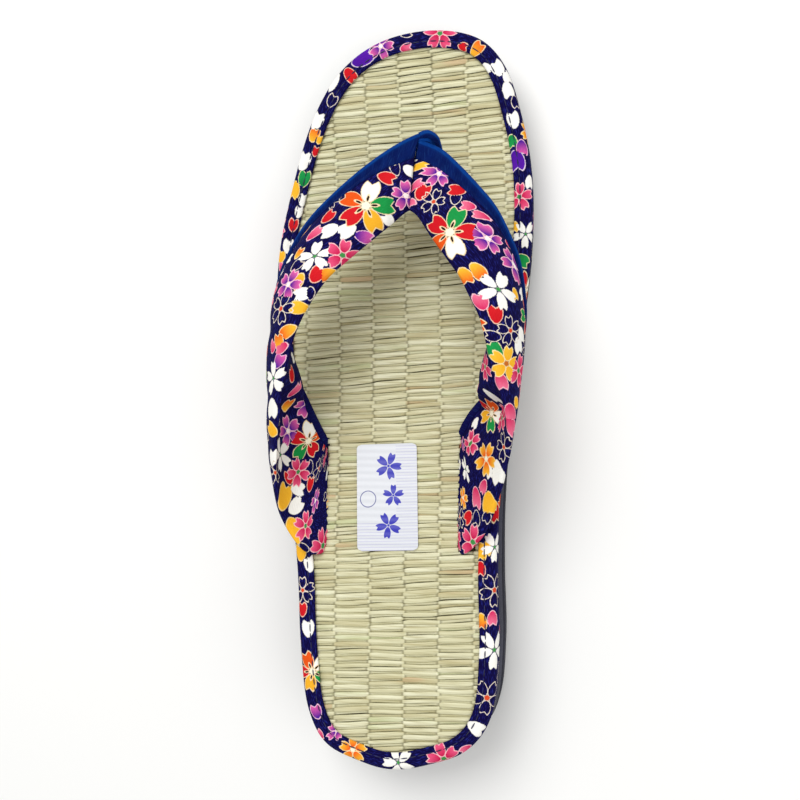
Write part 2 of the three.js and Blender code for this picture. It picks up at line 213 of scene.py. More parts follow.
# %% [markdown]
# ## From a grid to a skin
# Most pieces of a shoe are skins that run round or along something. Each starts as a flat grid primitive. Its
# corners are moved to their places, the two edges that meet are merged, open ends are filled, and the faces
# are turned outwards. Cloth also gets its own coordinates in millimetres, which the print follows.

# %% Skins from grid primitives
merge_reach = 0.004 * mm


def select_only(*pieces):
    bpy.ops.object.select_all(action="DESELECT")
    for piece in pieces:
        piece.select_set(True)
    bpy.context.view_layer.objects.active = pieces[0]


def close_skin(piece):
    """Merges corners that meet, fills what is open and turns the faces outwards."""
    select_only(piece)
    bpy.ops.object.mode_set(mode="EDIT")
    bpy.ops.mesh.select_all(action="SELECT")
    bpy.ops.mesh.remove_doubles(threshold=merge_reach)
    bpy.ops.mesh.select_all(action="DESELECT")
    bpy.ops.mesh.select_non_manifold()
    bpy.ops.mesh.fill_holes(sides=0)
    bpy.ops.mesh.select_all(action="SELECT")
    bpy.ops.mesh.normals_make_consistent(inside=False)
    bpy.ops.object.mode_set(mode="OBJECT")
    bpy.ops.object.shade_smooth()


def grid_skin(name, points, cloth=None):
    """Grid primitive with its corners at points[row][column], in table millimetres."""
    rows, columns = points.shape[:2]
    bpy.ops.object.select_all(action="DESELECT")
    bpy.ops.mesh.primitive_grid_add(x_subdivisions=columns - 1, y_subdivisions=rows - 1, size=1)
    piece = bpy.context.active_object
    piece.name = name
    mesh = piece.data
    mesh.vertices.foreach_set("co", to_frame(points).ravel())
    if cloth is not None:
        corner = np.empty(len(mesh.loops), int)
        mesh.loops.foreach_get("vertex_index", corner)
        mesh.uv_layers.active.data.foreach_set("uv", cloth.reshape(-1, 2)[corner].ravel())
    return piece

# %% Joined and finished pieces
def join(name, pieces):
    """One piece from several."""
    select_only(*pieces)
    bpy.ops.object.join()
    joined = bpy.context.active_object
    joined.name = name
    return joined


def settle(piece, finish, slot, *nodes):
    """The piece rides on the sandal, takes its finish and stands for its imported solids."""
    piece.data.materials.clear()
    piece.data.materials.append(finish)
    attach(piece, "root")
    if nodes:
        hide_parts(*nodes)
    piece.data.update()
    print(piece.name, "has", sum(len(face.vertices) - 2 for face in piece.data.polygons), "triangles")

# %% [markdown]
# ## Shader helpers
# Node trees are written as formulas: each helper adds one node, feeds its sockets with numbers or with other
# nodes, and hands back the output.

# %% Colours, nodes and maths
def ink(code):
    """A colour as painters' programs write it, turned into the linear light that shaders mix."""
    parts = [int(code[first:first + 2], 16) / 255 for first in (1, 3, 5)]
    return [part / 12.92 if part <= 0.04045 else ((part + 0.055) / 1.055) ** 2.4 for part in parts] + [1.0]


def feed(tree, socket, value):
    if isinstance(value, bpy.types.NodeSocket):
        tree.links.new(value, socket)
    else:
        socket.default_value = value


def feed_all(tree, node, inputs):
    for name, value in inputs.items():
        feed(tree, node.inputs[name], value)


def add_node(tree, kind, inputs=None, **settings):
    made = tree.nodes.new(kind)
    for name, value in settings.items():
        setattr(made, name, value)
    feed_all(tree, made, inputs or {})
    return made


def maths(tree, operation, *values):
    made = add_node(tree, "ShaderNodeMath", operation=operation)
    for socket, value in zip(made.inputs, values):
        feed(tree, socket, value)
    return made.outputs[0]


def vector_maths(tree, operation, *values):
    made = add_node(tree, "ShaderNodeVectorMath", operation=operation)
    for socket, value in zip(made.inputs, values):
        feed(tree, socket, value)
    return made.outputs["Value" if operation in ("LENGTH", "DISTANCE") else "Vector"]


def axes_of(tree, vector):
    return add_node(tree, "ShaderNodeSeparateXYZ", {"Vector": vector}).outputs

# %% Ranges, mixes and ramps
def spread(tree, value, low, high, to_low=0.0, to_high=1.0):
    """Maps a value from one range to another and stops at its ends."""
    inputs = {"Value": value, "From Min": low, "From Max": high, "To Min": to_low, "To Max": to_high}
    return add_node(tree, "ShaderNodeMapRange", inputs).outputs["Result"]


def mixed(tree, share, first, second, blend="MIX"):
    made = add_node(tree, "ShaderNodeMix", data_type="RGBA", blend_type=blend)
    feed(tree, made.inputs["Factor"], share)
    feed(tree, made.inputs[6], first)
    feed(tree, made.inputs[7], second)
    return made.outputs[2]


def ramp(tree, value, stops, stepped=False):
    """Outputs of a colour ramp with (place, colour) stops."""
    made = add_node(tree, "ShaderNodeValToRGB", {"Fac": value})
    made.color_ramp.interpolation = "CONSTANT" if stepped else "LINEAR"
    elements = made.color_ramp.elements
    for place, colour in stops[2:]:
        elements.new(place)
    for element, (place, colour) in zip(elements, stops):
        element.position = place
        element.color = colour
    return made.outputs

# %% Patterns, their places and bumps
def noise(tree, vector, scale, detail=2.0):
    inputs = {"Vector": vector, "Scale": scale, "Detail": detail}
    return add_node(tree, "ShaderNodeTexNoise", inputs).outputs["Fac"]


def stretched(tree, vector, scale):
    return add_node(tree, "ShaderNodeMapping", {"Vector": vector, "Scale": scale}).outputs["Vector"]


def object_place(tree):
    return add_node(tree, "ShaderNodeTexCoord").outputs["Object"]


def cloth_place(tree):
    return add_node(tree, "ShaderNodeTexCoord").outputs["UV"]


def bumped(tree, height, distance):
    inputs = {"Height": height, "Distance": distance, "Strength": 1.0}
    return add_node(tree, "ShaderNodeBump", inputs).outputs["Normal"]

# %% New finishes and node groups
def new_finish(name):
    finish = bpy.data.materials.new(name)
    finish.use_nodes = True
    tree = finish.node_tree
    return finish, tree, tree.nodes["Principled BSDF"]


def new_group(name, inputs, outputs):
    """Empty node group with its named sockets, and the two nodes that hold them."""
    group = bpy.data.node_groups.new(name, "ShaderNodeTree")
    for title, kind in inputs:
        group.interface.new_socket(title, in_out="INPUT", socket_type="NodeSocket" + kind)
    for title, kind in outputs:
        group.interface.new_socket(title, in_out="OUTPUT", socket_type="NodeSocket" + kind)
    return group, group.nodes.new("NodeGroupInput"), group.nodes.new("NodeGroupOutput")


def place_group(tree, group, **inputs):
    return add_node(tree, "ShaderNodeGroup", inputs, node_tree=group).outputs


floor_finish, tree, shader = new_finish("pale_floor")
feed_all(tree, shader, {"Base Color": ink("#f1f1ef"), "Roughness": 0.6})
floor.data.materials.append(floor_finish)

# %% [markdown]
# ## Foam sole
# The wedge is moulded foam in two layers with a parting groove between them. Rings of the outline are stacked
# from the bevelled tread up to the mat, and the tread and the top are closed by rungs across the foot.

# %% Foam sole from stacked outlines
insole_thickness = 7.2
seat_gap = 0.3
sole_rungs = 150
heel_flare = 1.2
flare_from = 10
flare_run = 50
tread_columns = 25
seat_columns = 9
wall_rows = [
    # rise, inset, share of the flare
    (0, 3.2, 1),
    (0.012, 2.1, 1),
    (0.04, 1.2, 1),
    (0.09, 0.6, 1),
    (0.2, 0.42, 1),
    (0.35, 0.4, 1),
    (0.485, 0.42, 1),
    (0.51, 0.55, 1),
    (0.535, 1.0, 1),
    (0.57, 1.1, 0.9),
    (0.605, 1.0, 0.8),
    (0.63, 0.6, 0.8),
    (0.66, 0.5, 0.75),
    (0.8, 0.58, 0.5),
    (0.94, 0.7, 0.1),
    (0.985, 0.95, 0),
    (1, 1.6, 0),
]


def ease(value):
    """Soft step from 0 to 1."""
    share = np.clip(value, 0, 1)
    return share**2 * (3 - 2 * share)


def sole_plan(inset, flare):
    """Outline of the foam, which spreads beyond the mat towards the heel."""
    corners = outline_by_rungs(sole_rungs)
    return inset_outline(corners, inset - heel_flare * flare * ease((flare_from - corners[:, 1]) / flare_run))


def seat_height(y):
    return mat_height(y) - insole_thickness - seat_gap


def sole_ring(rise, inset, flare):
    ring = sole_plan(inset, flare)
    ground = ground_height(ring[:, 1])
    return np.column_stack([ring, ground + (seat_height(ring[:, 1]) - ground) * rise])


def rung_grid(ring, height, columns):
    """Grid across the foot between the two sides of a ring."""
    rungs = len(ring) // 2
    lateral = ring[:rungs + 1]
    medial = np.vstack([ring[:1], ring[:rungs - 1:-1]])
    share = np.linspace(0, 1, columns)[None, :, None]
    plan = lateral[:, None] * (1 - share) + medial[:, None] * share
    return np.dstack([plan, height(plan[..., 1])])


def rising_skin(name, points, rises):
    """Skin whose second coordinate tells how high up the sole its rows lie."""
    coordinates = np.zeros((*points.shape[:2], 2))
    coordinates[..., 1] = np.array(rises)[:, None]
    return grid_skin(name, points, coordinates)


rings = np.array([sole_ring(*row) for row in wall_rows])
foam_sole = join("foam_sole", [
    rising_skin("sole_wall", np.concatenate([rings, rings[:, :1]], axis=1), [row[0] for row in wall_rows]),
    rising_skin("sole_tread", rung_grid(sole_plan(*wall_rows[0][1:]), ground_height, tread_columns), [0]),
    rising_skin("sole_seat", rung_grid(sole_plan(*wall_rows[-1][1:]), seat_height, seat_columns), [1]),
])
close_skin(foam_sole)

# %% Foam finish
parting_rise = 0.57
parting_blur = 0.01

foam_finish, tree, shader = new_finish("navy_foam")
place = object_place(tree)
grain = noise(tree, place, 1500, 3)
clouding = noise(tree, place, 60, 2)
rise = axes_of(tree, cloth_place(tree))["Y"]
lower_foam = ramp(tree, clouding, [(0.3, ink("#1b1c27")), (0.7, ink("#222331"))])["Color"]
upper_foam = ramp(tree, clouding, [(0.3, ink("#292a38")), (0.7, ink("#313246"))])["Color"]
over_parting = spread(tree, rise, parting_rise - parting_blur, parting_rise + parting_blur)
feed_all(tree, shader, {
    "Base Color": mixed(tree, over_parting, lower_foam, upper_foam),
    "Roughness": spread(tree, grain, 0.3, 0.7, 0.62, 0.82),
    "Specular IOR Level": 0.3,
    "Normal": bumped(tree, grain, 0.12 * mm),
})
settle(foam_sole, foam_finish, "foam", "outsole")

# %% [markdown]
# ## Rush mat
# The mat is woven from rush stems that run across the foot over hidden warp threads. Each stem rises over
# one column and dives under the next, and its neighbours do the opposite, so the bulges interlock along
# the warps. Every stem is a real tube here, a few hundred joined into one mesh, because the shadows
# between them make the mat look woven.

# %% Board under the mat
board_inset = 1.5
board_drop = 1.3
board_rungs = 100
board_columns = 5
board_plan = inset_outline(outline_by_rungs(board_rungs), board_inset)


def board_top(y):
    return mat_height(y) - board_drop


def board_bottom(y):
    return mat_height(y) - insole_thickness


board_rings = np.array([
    np.column_stack([board_plan, board_bottom(board_plan[:, 1])]),
    np.column_stack([board_plan, board_top(board_plan[:, 1])]),
])
mat_board = join("mat_board", [
    grid_skin("board_wall", np.concatenate([board_rings, board_rings[:, :1]], axis=1)),
    grid_skin("board_top", rung_grid(board_plan, board_top, board_columns)),
    grid_skin("board_bottom", rung_grid(board_plan, board_bottom, board_columns)),
])
close_skin(mat_board)
board_finish, tree, shader = new_finish("shaded_straw")
mottling = noise(tree, object_place(tree), 300)
# The board's dark olive is painted shade, seen in the gaps between the stems
board_colour = ramp(tree, mottling, [(0.3, ink("#4a4424")), (0.7, ink("#6a6238"))])["Color"]
feed_all(tree, shader, {"Base Color": board_colour, "Roughness": 0.9})
settle(mat_board, board_finish, "rush")

# %% Sizes of the weave
row_pitch = 2.42
warp_pitch = 11.85
mat_inset = 5.4
row_slope = 0.06
stem_lift = 0.22
stem_level = -0.5
stem_taper = 1.5
stem_dive = 1.7
stem_half_width = 0.54
stem_half_depth = 0.34
width_bulge = 0.3
depth_bulge = 0.04
shortest_stem = 3.0
search_step = 0.25
end_gap = 0.2
weave_seed = 7
random = np.random.default_rng(weave_seed)

# How much the stems differ from each other, and how many columns each draw covers on both sides of the middle
stem_spread = {"width": 0.09, "tilt": 0.02, "shift": 0.08, "row": 0.05, "warp": 0.3, "plump": 0.15}
column_reach = 20
stem_tone_share = 0.45
column_tone_share = 0.55

# Steps across one column, measured from the warp valley; they crowd where the stems taper
column_steps = np.array([0, 0.8, 1.6, 2.6, 5.92, 9.25, 10.25, 11.05])

# Where one warp valley lies, because the mat is cut a little askew
warp_rows = [
    # y, x
    (-126, 2.2),
    (-60, 1.9),
    (0, 1.4),
    (60, 0.0),
    (126, -2.6),
]
warp_table = np.array(warp_rows)

# Slits that the strap's tails go down through, as their reach across and along the foot
slits = [
    # x from, x to, y from, y to
    (-31.5, -25.8, -53.8, -14.6),
    (20.1, 26.2, -52, -12.4),
]

# Corners of a stem's section: a round back and a flat belly
section_angles = np.radians([-60, 0, 34, 70, 110, 146, 180, 240])

# Slow and quick waves by which a row strays along the foot
wander_waves = [
    # reach, length across, length along, phase
    (0.35, 83, 61, 0),
    (0.15, 27, 19, 1.3),
]

# %% Where the stems run
def mat_edges(y):
    """Lateral and medial end of the mat at a station."""
    edge = inset_outline(fine_outline, mat_inset)
    turn = len(edge) // 2
    lateral = edge[:turn + 1][::-1]
    medial = edge[turn:]
    return np.interp(y, lateral[:, 1], lateral[:, 0]), np.interp(y, medial[:, 1], medial[:, 0])


def row_wander(x, y):
    """How far a row strays along the foot from straight across."""
    wander = row_slope * x
    for reach, length_across, length_along, phase in wander_waves:
        wander = wander + reach * np.sin(2 * math.pi * (x / length_across + y / length_along) + phase)
    return wander


def stem_runs(y):
    """Stretches across the foot that a stem at a station covers, broken at the slits."""
    x = np.arange(-half_length / 2, half_length / 2, search_step)
    lateral, medial = mat_edges(y + row_wander(x, y))
    on_mat = x[(x > lateral) & (x < medial)]
    if len(on_mat) * search_step < shortest_stem:
        return []
    start = on_mat[0]
    runs = []
    for low, high, rear, front in slits:
        if rear < y + row_wander(low, y) < front:
            runs.append((start, low))
            start = high
    return runs + [(start, on_mat[-1])]

# %% [markdown]
# A stem is a ring of eight corners carried across the foot. Small seeded differences in width, place and
# tone keep the weave lively. Tone and height are kept for the finish.

# %% One stem
def drawn(middle, trait):
    """One seeded value for each column of a stem."""
    return random.normal(middle, stem_spread[trait], 2 * column_reach)


def rush_stem(number, y, start, end):
    """Corners of one stem, a ring for each step across the foot, with its tone and height along the way."""
    warp = smooth(warp_table[:, 0], warp_table[:, 1:], y)[0]
    numbers = np.arange(math.floor((start - warp) / warp_pitch), math.ceil((end - warp) / warp_pitch))
    x = (warp + numbers[:, None] * warp_pitch + column_steps).ravel()
    x = np.concatenate([[start], x[(x > start + end_gap) & (x < end - end_gap)], [end]])
    column = (x - warp) / warp_pitch
    own_column = np.floor(column).astype(int)
    share = column - own_column
    depth_in = np.minimum(share, 1 - share) * warp_pitch * np.where((own_column + number) % 2, -1, 1)
    full = np.clip((depth_in + stem_taper) / (2 * stem_taper), 0, 1)
    up = (np.sin(math.pi / 2 * np.clip(depth_in / stem_dive, -1, 1)) + 1) / 2
    segment = own_column + column_reach
    half_width = (stem_half_width + width_bulge * full) * drawn(1, "width")[segment]
    half_depth = stem_half_depth + depth_bulge * full
    tilt = drawn(0, "tilt")[segment] * (share - 0.5) * warp_pitch
    shift = drawn(0, "shift")[segment] * np.sin(math.pi * share)
    row_shift = random.normal(0, stem_spread["row"])
    along = y + row_shift + row_wander(x, y) + tilt * np.sin(math.pi * share) + shift
    x = x + np.interp(column, np.arange(-column_reach, column_reach), drawn(0, "warp"))
    plump = drawn(1, "plump")[segment]
    height = mat_height(along) + stem_level + stem_lift * (2 * up - 1) * plump
    across = half_width[:, None] * np.cos(section_angles)
    rise = half_depth[:, None] * np.sin(section_angles)
    ring_x = np.repeat(x[:, None], len(section_angles), axis=1)
    corners = np.dstack([ring_x, along[:, None] + across, height[:, None] + rise])
    own_tone = stem_tone_share * random.uniform(0, 1)
    column_tones = column_tone_share * random.uniform(0, 1, 2 * column_reach)[segment]
    return corners, own_tone + column_tones, up

# %% All stems in one mesh
def tube_faces(first, rings, sides):
    """Faces of a closed tube whose corners are numbered ring by ring."""
    index = first + np.arange(rings * sides).reshape(rings, sides)
    beside = np.roll(index, -1, axis=1)
    quads = np.stack([index[:-1], beside[:-1], beside[1:], index[1:]], axis=-1).reshape(-1, 4)
    return quads.tolist() + [index[0, ::-1].tolist(), index[-1].tolist()]


def mesh_piece(name, corners, faces):
    """A piece from its corners, in table millimetres, and the faces between them."""
    mesh = bpy.data.meshes.new(name)
    mesh.from_pydata(to_frame(corners).tolist(), [], faces)
    piece = bpy.data.objects.new(name, mesh)
    bpy.context.scene.collection.objects.link(piece)
    return piece


stem_corners = []
stem_faces = []
stem_tones = []
stem_ups = []
first_corner = 0
sides = len(section_angles)

# Sloped rows begin a little before the mat does, so that they fill its corners
margin = mat_inset - row_slope * half_length / 4
stem_places = np.arange(-half_length + margin, half_length - margin, row_pitch / 2)
for number, y in enumerate(stem_places):
    for start, end in stem_runs(y):
        corners, tone, up = rush_stem(number, y, start, end)
        stem_corners.append(corners.reshape(-1, 3))
        stem_faces.extend(tube_faces(first_corner, len(corners), sides))
        stem_tones.append(np.repeat(tone, sides))
        stem_ups.append(np.repeat(up, sides))
        first_corner += len(corners) * sides

rush_stems = mesh_piece("rush_stems", np.concatenate(stem_corners), stem_faces)
for title, values in [("stem_tone", stem_tones), ("stem_up", stem_ups)]:
    attribute = rush_stems.data.attributes.new(title, "FLOAT", "POINT")
    attribute.data.foreach_set("value", np.concatenate(values).astype(np.float32))
close_skin(rush_stems)
print(len(stem_places), "rows of rush")

# %% [markdown]
# Rush dries to a pale straw with green and warm stems among it. Each stem has its own tone and fine lines
# along its length. Painted shade darkens the low stems and the spot where each stem dives under a warp.

# %% Rush finish
rush_finish, tree, shader = new_finish("dried_rush")
place = object_place(tree)
tone = add_node(tree, "ShaderNodeAttribute", attribute_name="stem_tone").outputs["Fac"]
up = add_node(tree, "ShaderNodeAttribute", attribute_name="stem_up").outputs["Fac"]
fibres = noise(tree, stretched(tree, place, (90, 2600, 900)), 1.0, 3)
patches = noise(tree, stretched(tree, place, (45, 300, 100)), 1.0, 2)
mottled_tone = maths(tree, "ADD", tone, spread(tree, patches, 0.3, 0.7, -0.16, 0.16))
straw = ramp(tree, mottled_tone, [
    (0.0, ink("#c6ae86")),
    (0.1, ink("#c4bb91")),
    (0.3, ink("#d1cda7")),
    (0.55, ink("#dad7b3")),
    (0.8, ink("#e5e3c4")),
    (1.0, ink("#c8cd9f")),
])["Color"]
streaked = mixed(tree, spread(tree, fibres, 0.4, 0.75, 0.0, 0.7), straw, ink("#a59b6a"))
# Painted shade: stems that lie low between their raised neighbours are darkened
low = mixed(tree, spread(tree, up, 0.05, 0.6, 0.22, 0.0), streaked, ink("#7d7443"))
# Painted shade: a darker olive where each stem dives under a warp
from_dive = maths(tree, "ABSOLUTE", maths(tree, "SUBTRACT", up, 0.3))
shaded = mixed(tree, spread(tree, from_dive, 0.05, 0.25, 0.55, 0.0), low, ink("#5b5330"))
feed_all(tree, shader, {
    "Base Color": shaded,
    "Roughness": spread(tree, fibres, 0.3, 0.7, 0.5, 0.68),
    "Specular IOR Level": 0.35,
    "Normal": bumped(tree, fibres, 0.12 * mm),
})
settle(rush_stems, rush_finish, "rush", "tatami_insole")

# %% [markdown]
# ## Printed cloth
# Strap and edge are cut from the same navy cotton, printed all over with cherry blossoms and loose petals.
# One node group draws a blossom from the cloth coordinates: it folds the plane into five sectors, and in each
# it draws one notched petal with a pale outline. Where each blossom sits, how it is turned, its size and its
# kind are attributes of the faces under it, so one group prints them all.

# %% Inks of the print
# Blossoms first, then loose petals; an ink left out shows the ground
print_kinds = [
    # name, inner, outer, line, heart
    ("white", "#f7f5ee", "#f4f2ea", "#efece4", "#3f8f45"),
    ("rose", "#c4204f", "#e5557f", "#f3b9bd", "#3f8a46"),
    ("violet", "#4c1f8e", "#e2609f", "#f1bccd", "#f6ece6"),
    ("orange", "#ea5f1e", "#f5b833", "#f3d29c", "#f8ecd2"),
    ("festive", "#e3202a", "#e3202a", "#f0d6ac", "#f8f0d4"),
    ("harvest", "#e3202a", "#e3202a", "#f0d6ac", "#f8f0d4"),
    ("drawn", None, None, "#e6d8c6", "#d24a28"),
    ("yellow", "#f2ae28", "#f4bb38", "#f4dca2", "#c46a26"),
    ("red petal", "#c61822", "#cf2026", "#f1bfa6", None),
    ("white petal", "#f5f3ec", "#f5f3ec", "#eae6df", None),
    ("pink petal", "#d03060", "#e87090", "#f3bcc6", None),
    ("orange petal", "#f4b432", "#e8601f", "#f4d6a4", None),
    ("violet petal", "#4d2090", "#d85aa2", "#eebdd6", None),
    ("green petal", "#178040", "#1f964a", "#e2dba8", None),
    ("drawn petal", None, None, "#e6d8c8", None),
    ("yellow petal", "#f2b02c", "#f4b631", "#f2d591", None),
    ("purple petal", "#4a1690", "#561aa0", "#e2cfe0", None),
]
kind_number = {row[0]: number for number, row in enumerate(print_kinds)}
loose_from = kind_number["red petal"]

# Petals of the two many-coloured blossoms, in turn
festive_inks = ["#cb1c25", "#eeac2b", "#1b8d43", "#f7f4ea", "#e05318"]
harvest_inks = ["#e05318", "#f7f4ea", "#cb1c25", "#1b8d43", "#c81822"]


def ink_steps(tree, value, codes):
    """Ramp with an equal step for each ink; alpha is 0 where an ink is left out."""
    stops = []
    for number, code in enumerate(codes):
        stops.append((number / len(codes), ink(code) if code else [0, 0, 0, 0]))
    return ramp(tree, value, stops, stepped=True)


print(len(print_kinds), "kinds of motif")

# %% Node group that draws one blossom: its sockets and its own plane
petal_count = 5
sector = 2 * math.pi / petal_count

blossom, given, result = new_group(
    "Blossom",
    [("Cloth", "Vector"), ("Place", "Vector"), ("Style", "Vector")],
    [("Color", "Color"), ("Mask", "Float")],
)
tree = blossom
calc = partial(maths, tree)
style = axes_of(tree, given.outputs["Style"])
spot = axes_of(tree, given.outputs["Place"])
radius, kind = style["X"], style["Y"]
middle = add_node(tree, "ShaderNodeCombineXYZ", {"X": spot["X"], "Y": spot["Y"]}).outputs[0]
offset = vector_maths(tree, "SUBTRACT", given.outputs["Cloth"], middle)
shrinking = {"Vector": offset, "Scale": calc("DIVIDE", 1.0, radius)}
scaled = add_node(tree, "ShaderNodeVectorMath", shrinking, operation="SCALE").outputs[0]
turning = {"Vector": scaled, "Angle": calc("MULTIPLY", spot["Z"], -1.0)}
turned = add_node(tree, "ShaderNodeVectorRotate", turning, rotation_type="Z_AXIS").outputs[0]
local = axes_of(tree, turned)
distance = vector_maths(tree, "LENGTH", turned)
bearing = calc("ARCTAN2", local["Y"], local["X"])
petal_number = calc("ROUND", calc("DIVIDE", bearing, sector))
lean = calc("SUBTRACT", bearing, calc("MULTIPLY", petal_number, sector))
is_loose = calc("GREATER_THAN", kind, loose_from - 0.5)

# %% [markdown]
# A petal is an oval that widens outwards, cut by a notch at its tip. Its rim is drawn as a thin line. A loose
# petal is the same shape, but placed about its own middle.

# %% Blossom group: outline of a petal
petal_middle = 0.56
petal_reach = 0.44
tip_reach = 0.53
petal_foot = 0.2
petal_flare = 0.14
notch_place = 0.865
notch_slope = 0.8
notch_sharpness = 2.2
line_width = 0.34


def either(loose_value, blossom_value):
    inputs = {"Factor": is_loose, "A": blossom_value, "B": loose_value}
    return add_node(tree, "ShaderNodeMix", inputs).outputs[0]


def for_white(white_value, other_value):
    """White is the first kind, with slimmer petals and a smaller heart than the others."""
    return spread(tree, kind, 0.4, 0.6, white_value, other_value)


along = either(
    calc("MULTIPLY_ADD", local["X"], petal_reach, petal_middle),
    calc("MULTIPLY", distance, calc("COSINE", lean)),
)
across = calc("ABSOLUTE", either(
    calc("MULTIPLY", local["Y"], petal_reach),
    calc("MULTIPLY", distance, calc("SINE", lean)),
))
from_middle = calc("SUBTRACT", along, petal_middle)
reach = calc("DIVIDE", from_middle, spread(tree, from_middle, -0.01, 0.01, petal_reach, tip_reach))
widening = calc("MULTIPLY_ADD", along, petal_flare, petal_foot)
girth = calc("DIVIDE", across, calc("MULTIPLY", widening, for_white(0.92, 1.15)))
oval = calc("SQRT", calc("ADD", calc("MULTIPLY", reach, reach), calc("MULTIPLY", girth, girth)))
notch = calc("SUBTRACT", along, calc("MULTIPLY_ADD", across, notch_slope, notch_place))
petal_edge = calc("MAXIMUM", oval, calc("MULTIPLY_ADD", notch, notch_sharpness, 1.0))
inside = spread(tree, petal_edge, 1.03, 0.97)
unit = calc("MULTIPLY", radius, either(1.0, petal_reach))
line_start = calc("SUBTRACT", 1.0, calc("DIVIDE", line_width, unit))
filled = spread(tree, calc("SUBTRACT", petal_edge, line_start), 0.03, -0.03)

# %% Blossom group: heart and stamens
stamen_stretch = 8.5
stamen_shift = -2.45
stamen_thinning = 24.0

is_blossom = calc("SUBTRACT", 1.0, is_loose)
heart_reach = calc("SUBTRACT", distance, for_white(0.1, 0.15))
heart = calc("MULTIPLY", spread(tree, heart_reach, 0.02, -0.02), is_blossom)
stamen_along = calc("MULTIPLY_ADD", along, stamen_stretch, stamen_shift)
stamen_across = calc("MULTIPLY", across, stamen_thinning)
stamen = calc("SQRT", calc("ADD", calc("POWER", stamen_along, 2.0), calc("POWER", stamen_across, 2.0)))
is_festive = calc("COMPARE", kind, kind_number["festive"] + 0.5, 0.9)
is_harvest = calc("COMPARE", kind, float(kind_number["harvest"]), 0.4)
stamen_rim = calc("MULTIPLY", spread(tree, stamen, 1.75, 1.5), is_festive)
stamen_mask = calc("MULTIPLY", spread(tree, stamen, 1.1, 0.8), is_festive)

# %% Blossom group: inks
kind_share = calc("DIVIDE", calc("ADD", kind, 0.5), float(len(print_kinds)))
_, *ink_columns = zip(*print_kinds)
inner, outer, line, heart_ink = [ink_steps(tree, kind_share, codes) for codes in ink_columns]
gradient = mixed(tree, spread(tree, along, 0.25, 0.9), inner["Color"], outer["Color"])
petal_share = calc("FRACT", calc("MULTIPLY_ADD", petal_number, 1 / petal_count, 0.5))
festive, harvest = [ink_steps(tree, petal_share, codes) for codes in (festive_inks, harvest_inks)]
many_coloured = mixed(tree, is_harvest, festive["Color"], harvest["Color"])
petal_ink = mixed(tree, is_festive, gradient, many_coloured)
lined = mixed(tree, filled, line["Color"], petal_ink)
rimmed = mixed(tree, stamen_rim, lined, line["Color"])
with_stamens = mixed(tree, stamen_mask, rimmed, ink("#241410"))
see_through = calc("MULTIPLY", filled, calc("SUBTRACT", 1.0, inner["Alpha"]))
petal_mask = calc("MULTIPLY", inside, calc("SUBTRACT", 1.0, see_through))
feed_all(tree, result, {
    "Color": mixed(tree, heart, with_stamens, heart_ink["Color"]),
    "Mask": calc("MAXIMUM", petal_mask, heart),
})
print("blossom group has", len(blossom.nodes), "nodes")

# %% [markdown]
# Cotton shows its threads at close range. A second group gives the height of a fine twill and the pale flecks
# where warp threads catch the light. Both cloths and the piping use it.

# %% Node group for the threads of a cloth
threads, given, result = new_group(
    "Cotton threads",
    [("Cloth", "Vector"), ("Thread", "Float")],
    [("Height", "Float"), ("Fleck", "Float")],
)
tree = threads
calc = partial(maths, tree)
per_thread = calc("DIVIDE", 2 * math.pi, given.outputs["Thread"])
axes = axes_of(tree, given.outputs["Cloth"])
warp_wave = calc("SINE", calc("MULTIPLY", axes["X"], per_thread))
weft_wave = calc("SINE", calc("MULTIPLY", axes["Y"], per_thread))
diagonal = calc("MULTIPLY", calc("ADD", axes["X"], axes["Y"]), 0.5)
twill_wave = calc("SINE", calc("MULTIPLY", diagonal, per_thread))
weave = calc("ADD", calc("MULTIPLY", warp_wave, weft_wave), twill_wave)
slubs = noise(tree, stretched(tree, given.outputs["Cloth"], (0.5, 3.2, 1)), 1.0, 2)
feed_all(tree, result, {
    "Height": calc("MULTIPLY_ADD", weave, 0.25, slubs),
    "Fleck": spread(tree, slubs, 0.52, 0.72),
})
print("thread group has", len(threads.nodes), "nodes")

# %% Printed cotton finish
print_layers = ["petals", "blossoms"]
cotton_thread = 0.55
bleed_reach = 0.5


def face_vector(tree, title):
    return add_node(tree, "ShaderNodeAttribute", attribute_name=title).outputs["Vector"]


printed_cotton, tree, shader = new_finish("printed_cotton")
cloth = cloth_place(tree)
bleed = add_node(tree, "ShaderNodeTexNoise", {"Vector": cloth, "Scale": 2.2, "Detail": 2.0}).outputs["Color"]
centred = vector_maths(tree, "SUBTRACT", bleed, (0.5, 0.5, 0.5))
printed_place = vector_maths(tree, "MULTIPLY_ADD", centred, (bleed_reach, bleed_reach, 0.0), cloth)
cotton = place_group(tree, threads, Cloth=cloth, Thread=cotton_thread)
# Painted highlight: the navy ground is flecked paler where warp threads catch the light
colour = mixed(tree, maths(tree, "MULTIPLY", cotton["Fleck"], 0.65), ink("#0b0539"), ink("#283190"))
for layer in print_layers:
    motif = place_group(
        tree, blossom,
        Cloth=printed_place,
        Place=face_vector(tree, layer + "_place"),
        Style=face_vector(tree, layer + "_style"),
    )
    colour = mixed(tree, motif["Mask"], colour, motif["Color"])
# Painted highlight: the same flecks brighten ground and print a little more
fleck_highlight = mixed(tree, maths(tree, "MULTIPLY", cotton["Fleck"], 0.3), colour, ink("#ffffff"), "SOFT_LIGHT")
feed_all(tree, shader, {
    "Base Color": fleck_highlight,
    "Roughness": 0.82,
    "Specular IOR Level": 0.06,
    "Normal": bumped(tree, cotton["Height"], 0.07 * mm),
})
